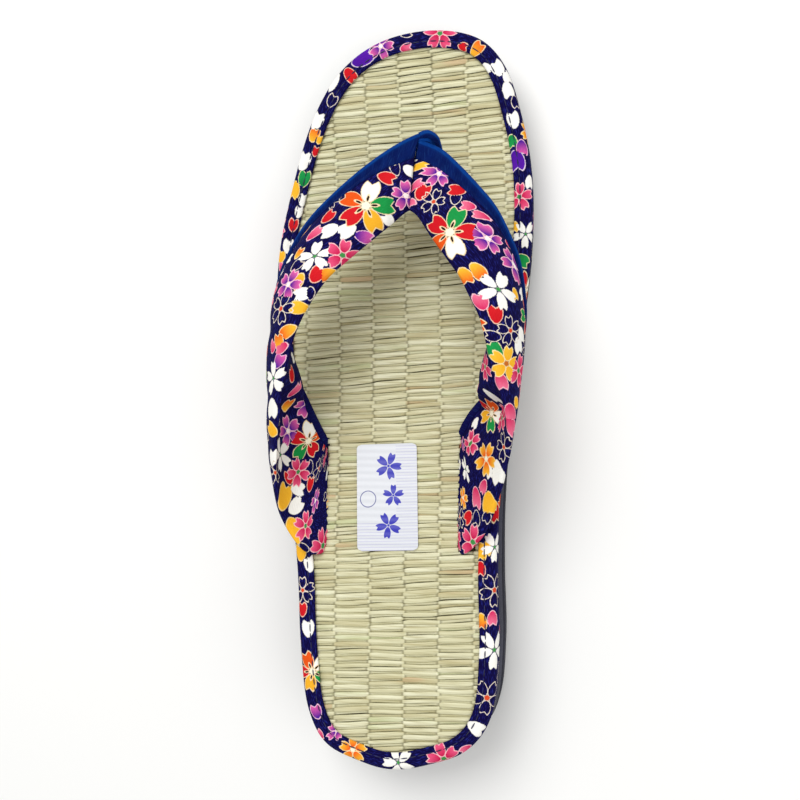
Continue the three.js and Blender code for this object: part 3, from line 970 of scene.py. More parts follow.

# %% [markdown]
# The motifs that are seen from above are charted one by one, each with its place on the cloth, its turn, its
# size and its kind. The rest of the cloth is filled by a seeded draw: large blossoms first, then smaller
# ones in the room that is left, then loose petals between them. Each face is given the nearest motif of
# each layer.

# %% Chart of the motifs that show from above
# Millimetres along from the toe seam, millimetres in from the rear fold (negative on the inner face),
# turn in degrees, size, kind
lateral_chart = [
    (10, 7, -20, 5, "violet"),
    (10, 15.5, -80, 2.4, "white petal"),
    (15.5, 18.5, 60, 2.5, "drawn petal"),
    (17.5, 2.5, 90, 2.5, "white petal"),
    (19, 17.5, -70, 3, "red petal"),
    (27, 12, -38, 9, "festive"),
    (29.5, 3, -55, 3, "violet petal"),
    (35.5, 8.5, 170, 3.2, "white petal"),
    (39.5, 2.5, 30, 5.5, "rose"),
    (40.5, 18, 5, 3, "red petal"),
    (41, 12.5, 160, 3.2, "white petal"),
    (46, 16, 5, 2.5, "pink petal"),
    (47.5, 1, 155, 3, "orange petal"),
    (48.5, 8.5, 40, 4.9, "white"),
    (50.5, 3.5, 10, 3, "red petal"),
    (53.5, 15.5, 5, 2, "orange petal"),
    (55.5, 12.5, -25, 2.5, "drawn petal"),
    (56.5, 2, 190, 2.5, "drawn petal"),
    (57.5, 8, 175, 3, "orange petal"),
    (58, 3.5, 130, 3, "white petal"),
    (61, 11, 0, 5, "violet"),
    (62, 2, 95, 3, "yellow petal"),
    (67.5, 9, 0, 5, "drawn"),
    (70.5, 2.5, 135, 3, "orange petal"),
    (76, 5, 25, 3, "orange petal"),
    (77, 3.5, 120, 3, "pink petal"),
    (79.5, 8, 0, 2.5, "pink petal"),
    (81.5, 3, -20, 3, "violet petal"),
    (86.5, -14, 90, 2.5, "white petal"),
    (88, 4, 20, 5.5, "white"),
    (88.5, -7, 20, 3, "red petal"),
    (97, 3, 185, 3.5, "white petal"),
    (97, -14, 0, 3, "pink petal"),
    (103.5, 2.5, 55, 3.2, "yellow petal"),
    (105, -17.5, 0, 3, "orange petal"),
    (111.5, 1, 0, 3, "white petal"),
    (114.5, -17.5, 0, 5.5, "violet"),
    (116, -0.5, 0, 4.5, "drawn"),
    (116.5, -9.5, 0, 6, "white"),
    (124.5, -26, 50, 8, "harvest"),
    (125, -11.5, 0, 3, "red petal"),
    (126, -5, -45, 5, "yellow petal"),
    (127.5, -17, 0, 5.5, "rose"),
    (130, -13.5, 225, 3.2, "white petal"),
    (131, -23, 0, 2.8, "drawn petal"),
    (131.5, -9, -90, 3.8, "white petal"),
    (133.5, -3, 180, 5, "yellow petal"),
    (134, -20.5, -40, 3, "red petal"),
    (135.5, -28, 0, 5, "drawn"),
    (136, -7.5, -45, 5.5, "rose"),
    (137, -0.5, 20, 2.5, "drawn petal"),
    (137.5, -18, 30, 4.8, "violet"),
    (138.5, -30.5, 0, 2.2, "drawn petal"),
    (140.5, -20.5, 0, 2.2, "drawn petal"),
    (141.8, -3.2, 0, 6.5, "rose"),
]
medial_chart = [
    (1.5, 1.5, 0, 3, "pink petal"),
    (2.5, 15.5, 30, 2, "yellow petal"),
    (3.5, 8.5, 80, 2.2, "pink petal"),
    (7.5, 8, 120, 3, "red petal"),
    (10.5, 17.5, 0, 5, "violet"),
    (13, 9.5, 55, 4.5, "drawn"),
    (20, 20, 230, 3, "red petal"),
    (21, 17.5, 140, 2.5, "drawn petal"),
    (24, 7.5, 54, 9, "harvest"),
    (26.5, 19.5, 230, 2.6, "pink petal"),
    (31, 20.5, 240, 2.2, "pink petal"),
    (36, 2, -5, 3, "orange petal"),
    (37, 17, 6, 5, "violet"),
    (39.5, 7, 10, 3, "orange petal"),
    (46.5, 2.5, 170, 3, "pink petal"),
    (48.5, 10, -10, 5.8, "white"),
    (53.5, 5.5, 165, 3, "red petal"),
    (54.5, 17, 0, 2, "yellow petal"),
    (59, 2.5, -105, 2.5, "drawn petal"),
    (61.5, 9.5, 35, 5, "drawn"),
    (64, 1.5, 200, 3.8, "green petal"),
    (66, 15, 0, 3, "white petal"),
    (67.5, 12, 0, 3, "white petal"),
    (69.5, 4.5, 10, 5.8, "yellow"),
    (71.5, -7, 0, 5, "rose"),
    (74, 1, 0, 3, "pink petal"),
    (74.5, 9.5, 0, 5.5, "rose"),
    (83, 5.5, 0, 2.2, "yellow petal"),
    (84, -11, 0, 3, "white petal"),
    (84.5, 1.5, 0, 3.4, "pink petal"),
    (88.5, 1, 30, 3.6, "pink petal"),
    (91.5, -9.5, 0, 5, "rose"),
    (95, -17, 30, 7, "festive"),
    (96.5, -2.5, 0, 5, "drawn"),
    (103.5, -23.5, 0, 2, "white petal"),
    (105, -3, 30, 4.2, "white petal"),
    (106.5, -11, 30, 5.5, "orange"),
    (107.5, -7, 30, 2.6, "white petal"),
    (110.5, -22.5, 0, 4.2, "rose"),
    (113, -8.5, 0, 2.8, "pink petal"),
    (113.5, -3, 30, 4.2, "yellow petal"),
    (116, -2, 0, 2.4, "drawn petal"),
    (117.5, -11, 30, 4, "pink petal"),
    (119.5, -6.5, 30, 2.8, "drawn petal"),
    (119.5, -23.5, 0, 5, "white"),
    (122.5, -1.5, 0, 6, "rose"),
    (122.5, -10, 0, 3, "red petal"),
    (123.5, -17.5, 0, 4, "orange"),
]

# The edge is charted from its seam at the inner waist, round the toe and back by the heel
edge_chart = [
    (-4.5, 6, 0, 6.5, "white"),
    (5, 1.5, 0, 2.8, "orange petal"),
    (6, 5.5, 0, 2.6, "pink petal"),
    (15, 6.5, 0, 5.5, "drawn"),
    (22, 1.5, 0, 2.6, "red petal"),
    (27.5, 1.5, 0, 3, "yellow petal"),
    (28.5, 3.5, 0, 2.4, "yellow petal"),
    (29, 6.5, 0, 5, "white"),
    (126, 4.5, 60, 3, "green petal"),
    (135, 5, 0, 4.8, "white"),
    (137.5, 1, 0, 2, "yellow petal"),
    (148, 2.5, 30, 5, "rose"),
    (153, 6.5, 0, 2.4, "white petal"),
    (161, 2.5, 0, 4, "purple petal"),
    (165, 5, 0, 3, "violet petal"),
    (168, 2, 0, 2.6, "green petal"),
    (175, 4, 180, 3, "white petal"),
    (181, 6.5, 0, 2.4, "drawn petal"),
    (185.5, 5, 0, 3, "white petal"),
    (190, 6.5, 0, 2.6, "white petal"),
    (194, 4.5, 180, 3.2, "white petal"),
    (196.5, 1, 0, 2.6, "white petal"),
    (205.5, 3, 80, 3.3, "orange petal"),
    (211.5, 2, 0, 2.2, "red petal"),
    (221, 5.5, -54, 6, "rose"),
    (233, 6.5, 0, 2.2, "drawn petal"),
    (234, 1.5, 0, 2.4, "pink petal"),
    (243, 5, -90, 5, "violet"),
    (251, 5, 0, 4.6, "purple petal"),
    (258.5, 3, -95, 3.2, "red petal"),
    (264.5, 7, 175, 3.6, "white petal"),
    (270.5, 3, 0, 2.6, "drawn petal"),
    (279.5, 5, 0, 3.4, "white petal"),
    (284.5, 4, 0, 2.8, "orange petal"),
    (285.5, 1.5, 0, 1.8, "yellow petal"),
    (290, 1.5, 0, 2, "red petal"),
    (294.5, 5, 0, 3.6, "white petal"),
    (300.5, 3, 0, 3.2, "green petal"),
    (305, 6, 180, 3.4, "yellow petal"),
    (308, 1.5, 0, 2.4, "white petal"),
    (312.5, 2, 0, 2.2, "white petal"),
    (317.5, 3, 0, 2.6, "red petal"),
    (325.5, 3.5, 0, 2.8, "white petal"),
    (329.5, 6, 0, 2.6, "yellow petal"),
    (333, 5, 0, 2.2, "pink petal"),
    (434, 5, 0, 3, "yellow petal"),
    (438, 2, 0, 2.8, "white petal"),
    (446.5, 5, 0, 4.5, "drawn"),
    (453, 5.5, 0, 2.6, "red petal"),
    (459.5, 3.5, 0, 3, "white petal"),
    (474, 3, -124, 7, "festive"),
    (488.5, 4, 0, 2.8, "violet petal"),
    (496.5, 6.5, 0, 2.2, "pink petal"),
    (510, 3.5, 0, 5, "orange"),
    (527.5, 4, 0, 6, "white"),
    (543.5, 6, -90, 6, "rose"),
    (552, 6.5, 0, 2.4, "pink petal"),
    (560.5, 4, 90, 3.4, "white petal"),
    (572.5, 4.5, 0, 6, "drawn"),
    (588.5, 6, 0, 6.5, "white"),
]
print(len(lateral_chart + medial_chart + edge_chart), "charted motifs")

# %% Charted and seeded motifs
chart_margin = 4.0
blossom_crowding = 0.94
petal_crowding = 0.88
size_spread = (0.88, 1.1)
blossom_sizes = [
    # kinds, radius, tries
    (["festive", "harvest"], 7.2, 60),
    (["white", "rose", "violet"], 5.6, 500),
    (["white", "rose", "orange", "drawn", "violet", "yellow"], 4.6, 1200),
]
petal_sizes = [
    (["red petal", "white petal", "orange petal", "pink petal", "white petal"], 2.9, 1500),
    (["red petal", "white petal", "violet petal", "drawn petal", "green petal", "yellow petal"], 2.2, 2500),
]


def charted(chart, cloth_spot):
    """Charted motifs as place on the cloth, turn, size and kind number."""
    return [
        (*cloth_spot(along, across), math.radians(turn), size, kind_number[kind])
        for along, across, turn, size, kind in chart
    ]


def scatter(random, spots, sizes, taken, crowding):
    """Motifs at random spots that keep clear of each other and of those already taken."""
    motifs = []
    for kinds, radius, tries in sizes:
        for spot in spots[random.integers(0, len(spots), tries)]:
            size = radius * random.uniform(*size_spread)
            others = np.array([motif[:4] for motif in taken + motifs]).reshape(-1, 4)
            gaps = np.hypot(*(others[:, :2] - spot).T) - (others[:, 3] + size) * crowding
            if len(gaps) and gaps.min() < 0:
                continue
            number = kind_number[kinds[random.integers(0, len(kinds))]]
            motifs.append((*spot, random.uniform(0, 2 * math.pi), size, number))
    return motifs

# %% Motifs written to the faces
spot_batches = 20


def face_places(mesh):
    """Cloth place of the middle of each face."""
    corner_places = np.empty(len(mesh.loops) * 2)
    mesh.uv_layers.active.data.foreach_get("uv", corner_places)
    starts = np.empty(len(mesh.polygons), int)
    mesh.polygons.foreach_get("loop_start", starts)
    totals = np.empty(len(mesh.polygons), int)
    mesh.polygons.foreach_get("loop_total", totals)
    return np.add.reduceat(corner_places.reshape(-1, 2), starts, axis=0) / totals[:, None]


def nearest_motif(spots, motifs):
    """Number of the motif whose rim is nearest to each spot, and how far off that rim is."""
    table = np.array(motifs)
    numbers = []
    gaps = []
    for part in np.array_split(spots, spot_batches):
        rims = np.hypot(part[:, None, 0] - table[:, 0], part[:, None, 1] - table[:, 1]) - table[:, 3]
        numbers.append(rims.argmin(axis=1))
        gaps.append(rims.min(axis=1))
    return np.concatenate(numbers), np.concatenate(gaps)


def print_cloth(piece, motifs, seed):
    """Lays the print on a piece and writes each face's motifs as attributes."""
    spots = face_places(piece.data)
    bare_spots = spots[nearest_motif(spots, motifs)[1] > chart_margin]
    random = np.random.default_rng(seed)
    blossoms = [motif for motif in motifs if motif[4] < loose_from]
    petals = [motif for motif in motifs if motif[4] >= loose_from]
    blossoms += scatter(random, bare_spots, blossom_sizes, blossoms + petals, blossom_crowding)
    petals += scatter(random, bare_spots, petal_sizes, blossoms + petals, petal_crowding)
    for layer, rows in zip(print_layers, [petals, blossoms]):
        chosen = np.array(rows)[nearest_motif(spots, rows)[0]]
        columns = {
            "_place": chosen[:, :3],
            "_style": np.column_stack([chosen[:, 3:5], np.zeros(len(chosen))]),
        }
        for ending, values in columns.items():
            attribute = piece.data.attributes.new(layer + ending, "FLOAT_VECTOR", "FACE")
            attribute.data.foreach_set("vector", values.astype(np.float32).ravel())
    print(piece.name, "print:", len(blossoms), "blossoms and", len(petals), "petals")

# %% [markdown]
# ## Cloth edge
# A strip of the printed cloth is folded over the rim of the mat and stitched down a little way in from its
# inner edge. The section of the fold is carried round the outline, and the seam pulls a shallow groove.

# %% Folded cloth edge
edge_steps = 900
edge_seam = 0.62
edge_seed = 21
fold_steps = 44
row_steps = 40
stitch_inset = 4.3
pucker_depth = 0.1
pucker_pitch = 3.3
pucker_reach = 3.5
pucker_level = 0.4
drift_pitch = 47
drift_beat = 9
fold_rows = [
    # inset, level above the mat
    (5.6, 0.1),
    (6.2, 0.2),
    (6.35, 0.55),
    (6.2, 0.9),
    (5.6, 1.15),
    (4.9, 1.2),
    (stitch_inset, 0.98),
    (3.7, 1.22),
    (2.8, 1.32),
    (1.8, 1.18),
    (0.9, 0.62),
    (0.3, -0.3),
    (0.05, -1.6),
    (0, -3.4),
    (0.12, -5.6),
    (0.45, -7.1),
    (1.0, -7.2),
    (1.25, -6.4),
    (1.3, -3.2),
    (1.45, -0.9),
    (2.4, 0.0),
    (4.2, 0.05),
]


def even_loop(corners, count, start=0.0):
    """A closed line cut into equal steps, and its length."""
    closed = np.vstack([corners, corners[:1]])
    length = np.concatenate([[0], np.cumsum(np.linalg.norm(np.diff(closed, axis=0), axis=1))])
    reach = np.linspace(0, length[-1], count + 1)[:-1] + start * length[-1]
    wrapped = reach % length[-1]
    return np.column_stack([np.interp(wrapped, length, column) for column in closed.T]), length[-1]


def round_section(rows, count):
    """A closed section smoothed through its rows and cut into equal steps."""
    loop = np.array(rows + rows[:3])
    at = np.linspace(1, len(rows) + 1, row_steps * len(rows) + 1)
    fine = smooth(np.arange(len(loop)), loop, at)
    return even_loop(fine[:-1], count)


edge_outline, edge_length = even_loop(fine_outline, edge_steps, edge_seam)
fold, fold_girth = round_section(fold_rows, fold_steps)
walk = np.linspace(0, edge_length, edge_steps, endpoint=False)
drift = pucker_depth * np.sin(2 * math.pi * walk / drift_pitch + 1) * np.sin(walk / drift_beat)
pucker = pucker_depth * np.sin(2 * math.pi * walk / pucker_pitch) + drift
edge_rings = []
for inset, level in fold:
    near_seam = max(0, 1 - abs(inset - stitch_inset) / pucker_reach)
    lift = np.where(level > pucker_level, pucker * near_seam, 0)
    ring = inset_outline(edge_outline, inset)
    edge_rings.append(np.column_stack([ring, mat_height(ring[:, 1]) + level + lift]))
edge_rings = np.array(edge_rings)
edge_points = np.concatenate([edge_rings, edge_rings[:, :1]], axis=1)
edge_points = np.concatenate([edge_points, edge_points[:1]], axis=0)
girth_walk = np.linspace(0, fold_girth, len(fold) + 1)
edge_cloth = np.dstack(np.meshgrid(-np.append(walk, edge_length), girth_walk))
edge_tape = grid_skin("edge_tape", edge_points, edge_cloth)
close_skin(edge_tape)
print_cloth(edge_tape, charted(edge_chart, lambda along, across: (-along, across)), edge_seed)
settle(edge_tape, printed_cotton, "printed_cloth", "edge_binding")

# %% Stitches round the edge
stitch_pitch = 3.0
stitch_length = 2.7
stitch_radius = 0.2
stitch_level = 1.16
stitch_sink = 0.16
stitch_sides = 6
blunt_end = 0.08

# Rings of a stitch, as shares of its half length
stitch_shares = [-1, -0.8, -0.3, 0.3, 0.8, 1]


def stitch_corners(middle, forward, sideways):
    """Rings of one short rounded thread whose ends sink into the cloth."""
    corners = []
    for share in stitch_shares:
        girth = stitch_radius * math.sqrt(max(blunt_end, 1 - share**4))
        for angle in np.linspace(0, 2 * math.pi, stitch_sides, endpoint=False):
            spot = middle + forward * share * stitch_length / 2 + sideways * girth * math.cos(angle)
            level = float(mat_height(spot[1:])[0]) + stitch_level
            corners.append((*spot, level + girth * math.sin(angle) - stitch_sink * share**2))
    return corners


seam = inset_outline(edge_outline, stitch_inset)
_, seam_length = even_loop(seam, edge_steps)
middles, _ = even_loop(seam, int(seam_length / stitch_pitch))
forward = np.roll(middles, -1, axis=0) - np.roll(middles, 1, axis=0)
forward /= np.linalg.norm(forward, axis=1)[:, None]
sideways = np.column_stack([-forward[:, 1], forward[:, 0]])
corners = []
faces = []
for stitch in zip(middles, forward, sideways):
    faces += tube_faces(len(corners), len(stitch_shares), stitch_sides)
    corners += stitch_corners(*stitch)
edge_stitches = mesh_piece("edge_stitches", corners, faces)
close_skin(edge_stitches)
thread_finish, tree, shader = new_finish("navy_thread")
twist = noise(tree, object_place(tree), 2500, 1)
thread_colour = ramp(tree, twist, [(0.3, ink("#0b0a2c")), (0.7, ink("#1a1c50"))])["Color"]
feed_all(tree, shader, {"Base Color": thread_colour, "Roughness": 0.6})
settle(edge_stitches, thread_finish, "printed_cloth")
print(len(middles), "stitches")

# %% [markdown]
# ## Padded strap
# Each half of the strap is a padded band: two layers of printed cloth over a soft core, with piping along the
# front edge. It leaves the toe post, rises over the foot and twists down into its slit. Each row of a table
# gives one cross-section by its front and rear edge, and the section swells between them.

# %% Tables of the two strap halves
# Place of each edge and its height above the mat, from the toe seam to the tail in its slit
lateral_rows = [
    # front x, y, rise, rear x, y, rise
    (16.5, 83.5, 15.5, 11, 61.5, 20.5),
    (11, 86.6, 18.5, 5.6, 59.8, 23.8),
    (2.2, 82.5, 22, 1, 55.5, 26.5),
    (-8.5, 75, 24.3, -5, 49.8, 30),
    (-18.5, 66.5, 25.2, -11.5, 43.6, 33.6),
    (-27.5, 57.5, 25, -18.5, 36.8, 36),
    (-34.3, 47.5, 23.2, -24.5, 28, 37),
    (-38.8, 38.5, 19.8, -28.8, 19.5, 36.6),
    (-40.4, 28.5, 16, -31.4, 11.5, 35.2),
    (-40.4, 18.5, 12.4, -34, 2.5, 32.6),
    (-38, 9.5, 9, -36, -7.5, 28.8),
    (-34.4, 1.8, 5.8, -37.8, -18, 23.8),
    (-31, -6, 2.6, -39.2, -29, 18),
    (-28.3, -11.8, 0.3, -38.2, -41, 11.8),
    (-26.8, -15, -2, -32, -52, 6.8),
    (-26.2, -16.5, -4, -27, -54.2, 0.6),
    (-25.8, -17.5, -6, -25.8, -50, -6),
]
medial_rows = [
    (8.5, 84, 19.3, 3, 60.6, 24.4),
    (16, 80.4, 19.8, 8, 58.6, 25.2),
    (22, 74.8, 21.2, 13.6, 50.5, 27.6),
    (28.5, 67.5, 22.8, 19.1, 43, 31.2),
    (34, 60.4, 23, 23.6, 36.8, 33.6),
    (38, 52.3, 22, 27, 30.4, 35),
    (40.8, 44.5, 19.6, 30.2, 24, 35.6),
    (42.3, 34.5, 16.6, 32.4, 16.6, 35.4),
    (42.4, 24.5, 13.6, 34.4, 8.8, 34),
    (40, 14.5, 10.8, 36.6, 0.6, 31.2),
    (35.4, 6.4, 8.2, 38.6, -8, 27),
    (29.8, 0.6, 6, 38.6, -16, 22.6),
    (25, -4.4, 3.2, 37, -23.8, 17.8),
    (21.8, -8.8, 0.8, 34.8, -32, 12.8),
    (20.3, -11.8, -1.4, 29.6, -45.4, 6.2),
    (19.7, -13.3, -3.6, 22, -53.3, 0.3),
    (19.4, -14.2, -6, 19.4, -49.5, -6),
]
halves = {
    "lateral": {
        "rows": np.array(lateral_rows),
        "outward": -1,
        "swell": 8.0,
        "swell_rows": (7.2, 10.2),
        "cloth_start": 0,
    },
    "medial": {
        "rows": np.array(medial_rows),
        "outward": 1,
        "swell": 9.5,
        "swell_rows": (5.6, 9.2),
        "cloth_start": 1000,
    },
}

# How far the middle of each half bows away from the foot
bow_rows = [
    # row, lateral, medial
    (0, 0, 0),
    (3, 1.6, 1.4),
    (6, 2.6, 2.4),
    (8.5, 2.4, 2.4),
    (10, 3.3, 1.8),
    (11.5, 4.9, 0.9),
    (13, 3.4, 0.6),
    (15, 0, 0),
    (16, 0, 0),
]
bow_table = np.array(bow_rows)
for column, half in enumerate(halves.values(), 1):
    half["bow"] = bow_table[:, [column]]

# %% Lengths of the two halves
fine_stations = 1200

# Before this row the cloth is gathered towards the seam, so its lean is held
gather_row = 1.5


def strap_edges(rows, at):
    """Front and rear edge of the strap at row numbers."""
    values = smooth(np.arange(len(rows)), rows, at)
    front = np.column_stack([values[:, :2], mat_height(values[:, 1]) + values[:, 2]])
    rear = np.column_stack([values[:, 3:5], mat_height(values[:, 4]) + values[:, 5]])
    return front, rear


def line_length(points):
    """How far along a line each of its points lies."""
    return np.concatenate([[0], np.cumsum(np.linalg.norm(np.diff(points, axis=0), axis=1))])


def unit_rows(vectors):
    return vectors / np.linalg.norm(vectors, axis=-1, keepdims=True)


for half in halves.values():
    half["fine_rows"] = np.linspace(0, len(half["rows"]) - 1, fine_stations)
    front, rear = strap_edges(half["rows"], half["fine_rows"])
    half["fine_walk"] = line_length((front + rear) / 2)
    half["fold_walk"] = line_length(rear)
    lean = np.sum(unit_rows(np.gradient(rear, axis=0)) * unit_rows(front - rear), axis=1)
    half["fold_lean"] = np.interp(np.maximum(half["fine_rows"], gather_row), half["fine_rows"], lean)
    print("strap half is", round(half["fine_walk"][-1]), "mm long")

# %% [markdown]
# The padding is a flat oval that is pressed in by creases and by the seam at the toe. The cord of the
# piping gathers it along the front edge. Inside, the band is fuller until it tucks into its slit.

# %% Sizes of the padding and its creases
strap_thickness = 4.4
tail_thickness = 3.4
slit_row = 15
tail_rows = 2
tuck_row = 11.45
tuck_slant = 2.7
tuck_length = 0.6
gather_depth = 0.16
gather_pitch = 4.6
gather_reach = 3.0
crease_rim = 0.35
padding_roundness = 0.7
relief_roundness = 0.5
cord_radius = 1.45
strap_margin = 2 * cord_radius + 0.1
seam_front = np.array([7.8, 84.0])
seam_rear = np.array([6.2, 60.0])
seam_shoulder = 2.6
seam_depth = 1.7

# Soft troughs in the padding: row and share across where each is deepest, its size, slant and depth
creases = {
    "lateral": [
        # row, share, length, width, slant, depth
        (1.9, 0.3, 8, 1.6, 0.3, 0.4),
        (2.1, 0.8, 6, 1.4, 0.2, 0.4),
        (8.4, 0.25, 12, 2.4, 0.9, 0.5),
        (10.2, 0.55, 14, 2.6, 1.1, 0.55),
        (12.3, 0.35, 13, 2.2, 0.8, 0.5),
        (13.6, 0.7, 9, 1.8, 0.5, 0.45),
    ],
    "medial": [
        (1.0, 0.35, 7, 1.6, -0.3, 0.4),
        (1.1, 0.85, 6, 1.4, -0.2, 0.4),
        (8.8, 0.3, 12, 2.2, -0.9, 0.45),
        (10.8, 0.5, 13, 2.4, -1.0, 0.5),
        (12.6, 0.4, 10, 2.0, -0.7, 0.45),
    ],
}
seam_along = (seam_rear - seam_front) / np.linalg.norm(seam_rear - seam_front)
seam_normal = np.array([-seam_along[1], seam_along[0]])
print({name: len(rows) for name, rows in creases.items()}, "creases")

# %% Form of the padded strap
def strap_form(name, at):
    """Edges, directions and padding of a strap half at row numbers."""
    half = halves[name]
    front, rear = strap_edges(half["rows"], at)
    across = unit_rows(rear - front)
    tangent = np.gradient((front + rear) / 2, axis=0)
    start = front + across * strap_margin
    swell_from, swell_to = half["swell_rows"]
    thinning = ease((at - slit_row + tail_rows) / tail_rows)
    return {
        "name": name,
        "at": at,
        "walk": np.interp(at, half["fine_rows"], half["fine_walk"]),
        "front": front,
        "start": start,
        "rear": rear,
        "across": across,
        "outward": unit_rows(np.cross(across, tangent)) * half["outward"],
        "width": np.linalg.norm(rear - start, axis=1)[:, None],
        "bow": smooth(bow_table[:, 0], half["bow"], at),
        "swell": half["swell"] * ease((at - swell_from) / (swell_to - swell_from))[:, None],
        "thickness": (strap_thickness + (tail_thickness - strap_thickness) * thinning)[:, None],
    }


def strap_relief(form, share):
    """Gathers along the piping and the creases, as a height on the padded face."""
    half = halves[form["name"]]
    walk = form["walk"][:, None]
    aside = share * form["width"]
    relief = gather_depth * np.sin(2 * math.pi * walk / gather_pitch) * np.exp(-aside / gather_reach)
    for row, place, length, width, slant, depth in creases[form["name"]]:
        along = walk - np.interp(row, half["fine_rows"], half["fine_walk"])
        off = aside - place * np.interp(row, form["at"], form["width"][:, 0])
        down = along * math.cos(slant) + off * math.sin(slant)
        over = -along * math.sin(slant) + off * math.cos(slant)
        rim = crease_rim * np.exp(-((down - 2 * width) / width) ** 2)
        trough = np.exp(-(down / width) ** 2) - rim
        relief = relief - depth * trough * np.exp(-(over / length) ** 2)
    return relief


def strap_points(form, share, face, raised=0.0):
    """Points on the padded strap: share from front to rear edge, face 1 outside and -1 inside."""
    share = np.broadcast_to(share, (len(form["at"]), np.shape(share)[-1]))
    rounding = 2 * np.sqrt(np.clip(share * (1 - share), 0, None))
    middle = form["start"][:, None] * (1 - share[..., None]) + form["rear"][:, None] * share[..., None]
    to_seam = np.abs((middle[..., :2] - seam_front) @ seam_normal)
    near = np.clip(1 - to_seam / seam_shoulder, 0, 1)
    drop = seam_depth * (1 - np.sqrt(1 - near**2)) * rounding
    relief = strap_relief(form, share) * rounding**relief_roundness
    padding = form["thickness"] / 2 * rounding**padding_roundness + relief - drop
    past_tuck = (form["at"][:, None] - tuck_row + tuck_slant * share) / tuck_length
    inner_swell = np.where(np.asarray(face) < 0, form["swell"] * (1 - ease(past_tuck + 0.5)), 0)
    lift = face * (padding + raised) + (form["bow"] - inner_swell) * 4 * share * (1 - share)
    return middle + form["outward"][:, None] * lift[..., None]


def cloth_spots(half, walk, from_fold):
    """Where points of a strap half lie on its cloth when that is unfolded and laid flat."""
    fold_way = np.interp(walk, half["fine_walk"], half["fold_walk"])
    lean = np.interp(walk, half["fine_walk"], half["fold_lean"])
    along = half["cloth_start"] + half["outward"] * (fold_way + np.abs(from_fold) * lean)
    return np.stack([along, from_fold * np.sqrt(1 - lean**2)], axis=-1)

# %% One half of the strap
strap_stations = 280
strap_around = 96


def strap_half(name):
    """Padded band from tail to toe, cut off square at the toe seam."""
    half = halves[name]
    walk = np.linspace(0, half["fine_walk"][-1], strap_stations)
    form = strap_form(name, np.interp(walk, half["fine_walk"], half["fine_rows"]))
    angle = np.linspace(0, 2 * math.pi, strap_around + 1)
    points = strap_points(form, (1 - np.cos(angle)) / 2, np.where(angle <= math.pi, 1, -1))
    girth_steps = np.linalg.norm(np.diff(points, axis=1), axis=2)
    girth = np.concatenate([np.zeros((strap_stations, 1)), np.cumsum(girth_steps, axis=1)], axis=1)
    from_fold = girth[:, strap_around // 2][:, None] - girth
    piece = grid_skin("strap_" + name, points, cloth_spots(half, walk[:, None], from_fold))
    close_skin(piece)
    bpy.ops.object.mode_set(mode="EDIT")
    bpy.ops.mesh.select_all(action="SELECT")
    bpy.ops.mesh.bisect(
        plane_co=to_frame([*seam_front, 0]),
        plane_no=(*seam_normal, 0),
        use_fill=True,
        clear_inner=name == "medial",
        clear_outer=name == "lateral",
    )
    bpy.ops.object.mode_set(mode="OBJECT")
    return piece

# %% Toe post and the joined strap
strap_seed = 5
post_stations = 40
post_around = 48
post_cloth_start = 2000
post_cloth_radius = 4.6
post_rows = [
    # x, y, rise, half width, half length
    (10.4, 76.5, 17.5, 2.2, 4),
    (11, 77.5, 14.5, 4.0, 6),
    (11.6, 77.6, 9, 4.2, 5),
    (11.6, 77.4, 2, 4, 4.6),
    (11.6, 77.4, -6, 4, 4.6),
]


def toe_post():
    """Rolled stalk of strap cloth with soft upright folds."""
    rows = np.array(post_rows)
    fine = smooth(np.arange(len(rows)), rows, np.linspace(0, len(rows) - 1, post_stations))
    angle = np.linspace(0, 2 * math.pi, post_around + 1)
    fold = 1 + 0.05 * np.sin(5 * angle + 0.6) + 0.03 * np.sin(9 * angle)
    x = fine[:, :1] + fine[:, 3:4] * np.cos(angle) * fold
    y = fine[:, 1:2] + fine[:, 4:5] * np.sin(angle) * fold
    z = np.repeat((mat_height(fine[:, 1]) + fine[:, 2])[:, None], len(angle), axis=1)
    cloth = np.dstack(np.meshgrid(post_cloth_start + angle * post_cloth_radius, fine[:, 2]))
    piece = grid_skin("strap_post", np.dstack([x, y, z]), cloth)
    close_skin(piece)
    return piece


padded_strap = join("padded_strap", [strap_half("lateral"), strap_half("medial"), toe_post()])
strap_motifs = []
for chart, half in zip([lateral_chart, medial_chart], halves.values()):
    strap_motifs += charted(chart, partial(cloth_spots, half))
print_cloth(padded_strap, strap_motifs, strap_seed)
settle(padded_strap, printed_cotton, "printed_cloth", "strap_upper")

# %% [markdown]
# ## Piping
# A cord in plain blue bias tape is sewn along the front edge of each half. The tape's tail lies over the
# strap as a flat border beside the round cord. At the tip the cord turns down the toe post.

# %% Tables of the piping
first_rows = {"lateral": 1.31, "medial": 0.0}

# The cord's way up out of the toe hole to the front edge: place and height above the mat
piping_tips = {
    "lateral": [
        # x, y, rise
        (13.3, 81.2, -6),
        (13.3, 81.3, 2),
        (13.5, 81.9, 9),
        (13.8, 82.9, 15),
        (13.2, 84.6, 18.2),
        (11.2, 85.5, 19.6),
    ],
    "medial": [
        (10.2, 80.9, -6),
        (10.2, 81.2, 2),
        (10.5, 82.0, 9),
        (11.4, 82.9, 15),
        (11.2, 83.9, 18.3),
        (9.6, 84.0, 19.2),
        (8.6, 83.5, 19.6),
    ],
}

# Width of the flat tape on the strap beside the cord
tape_rows = [
    # row, lateral, medial
    (0, 6.8, 4.4),
    (1, 6.8, 4.2),
    (1.8, 5.6, 3.6),
    (2.4, 4.2, 3.2),
    (3, 3.0, 2.6),
    (4.2, 1.6, 1.7),
    (5.4, 0.8, 0.8),
    (7, 0.5, 0.5),
    (16, 0.5, 0.5),
]

# Section of the tape from its edge on the strap to the ditch beside the cord
tape_section = np.array([
    # share of its width, lift
    (1.0, -0.1),
    (0.97, 0.3),
    (0.7, 0.34),
    (0.4, 0.34),
    (0.16, 0.1),
])

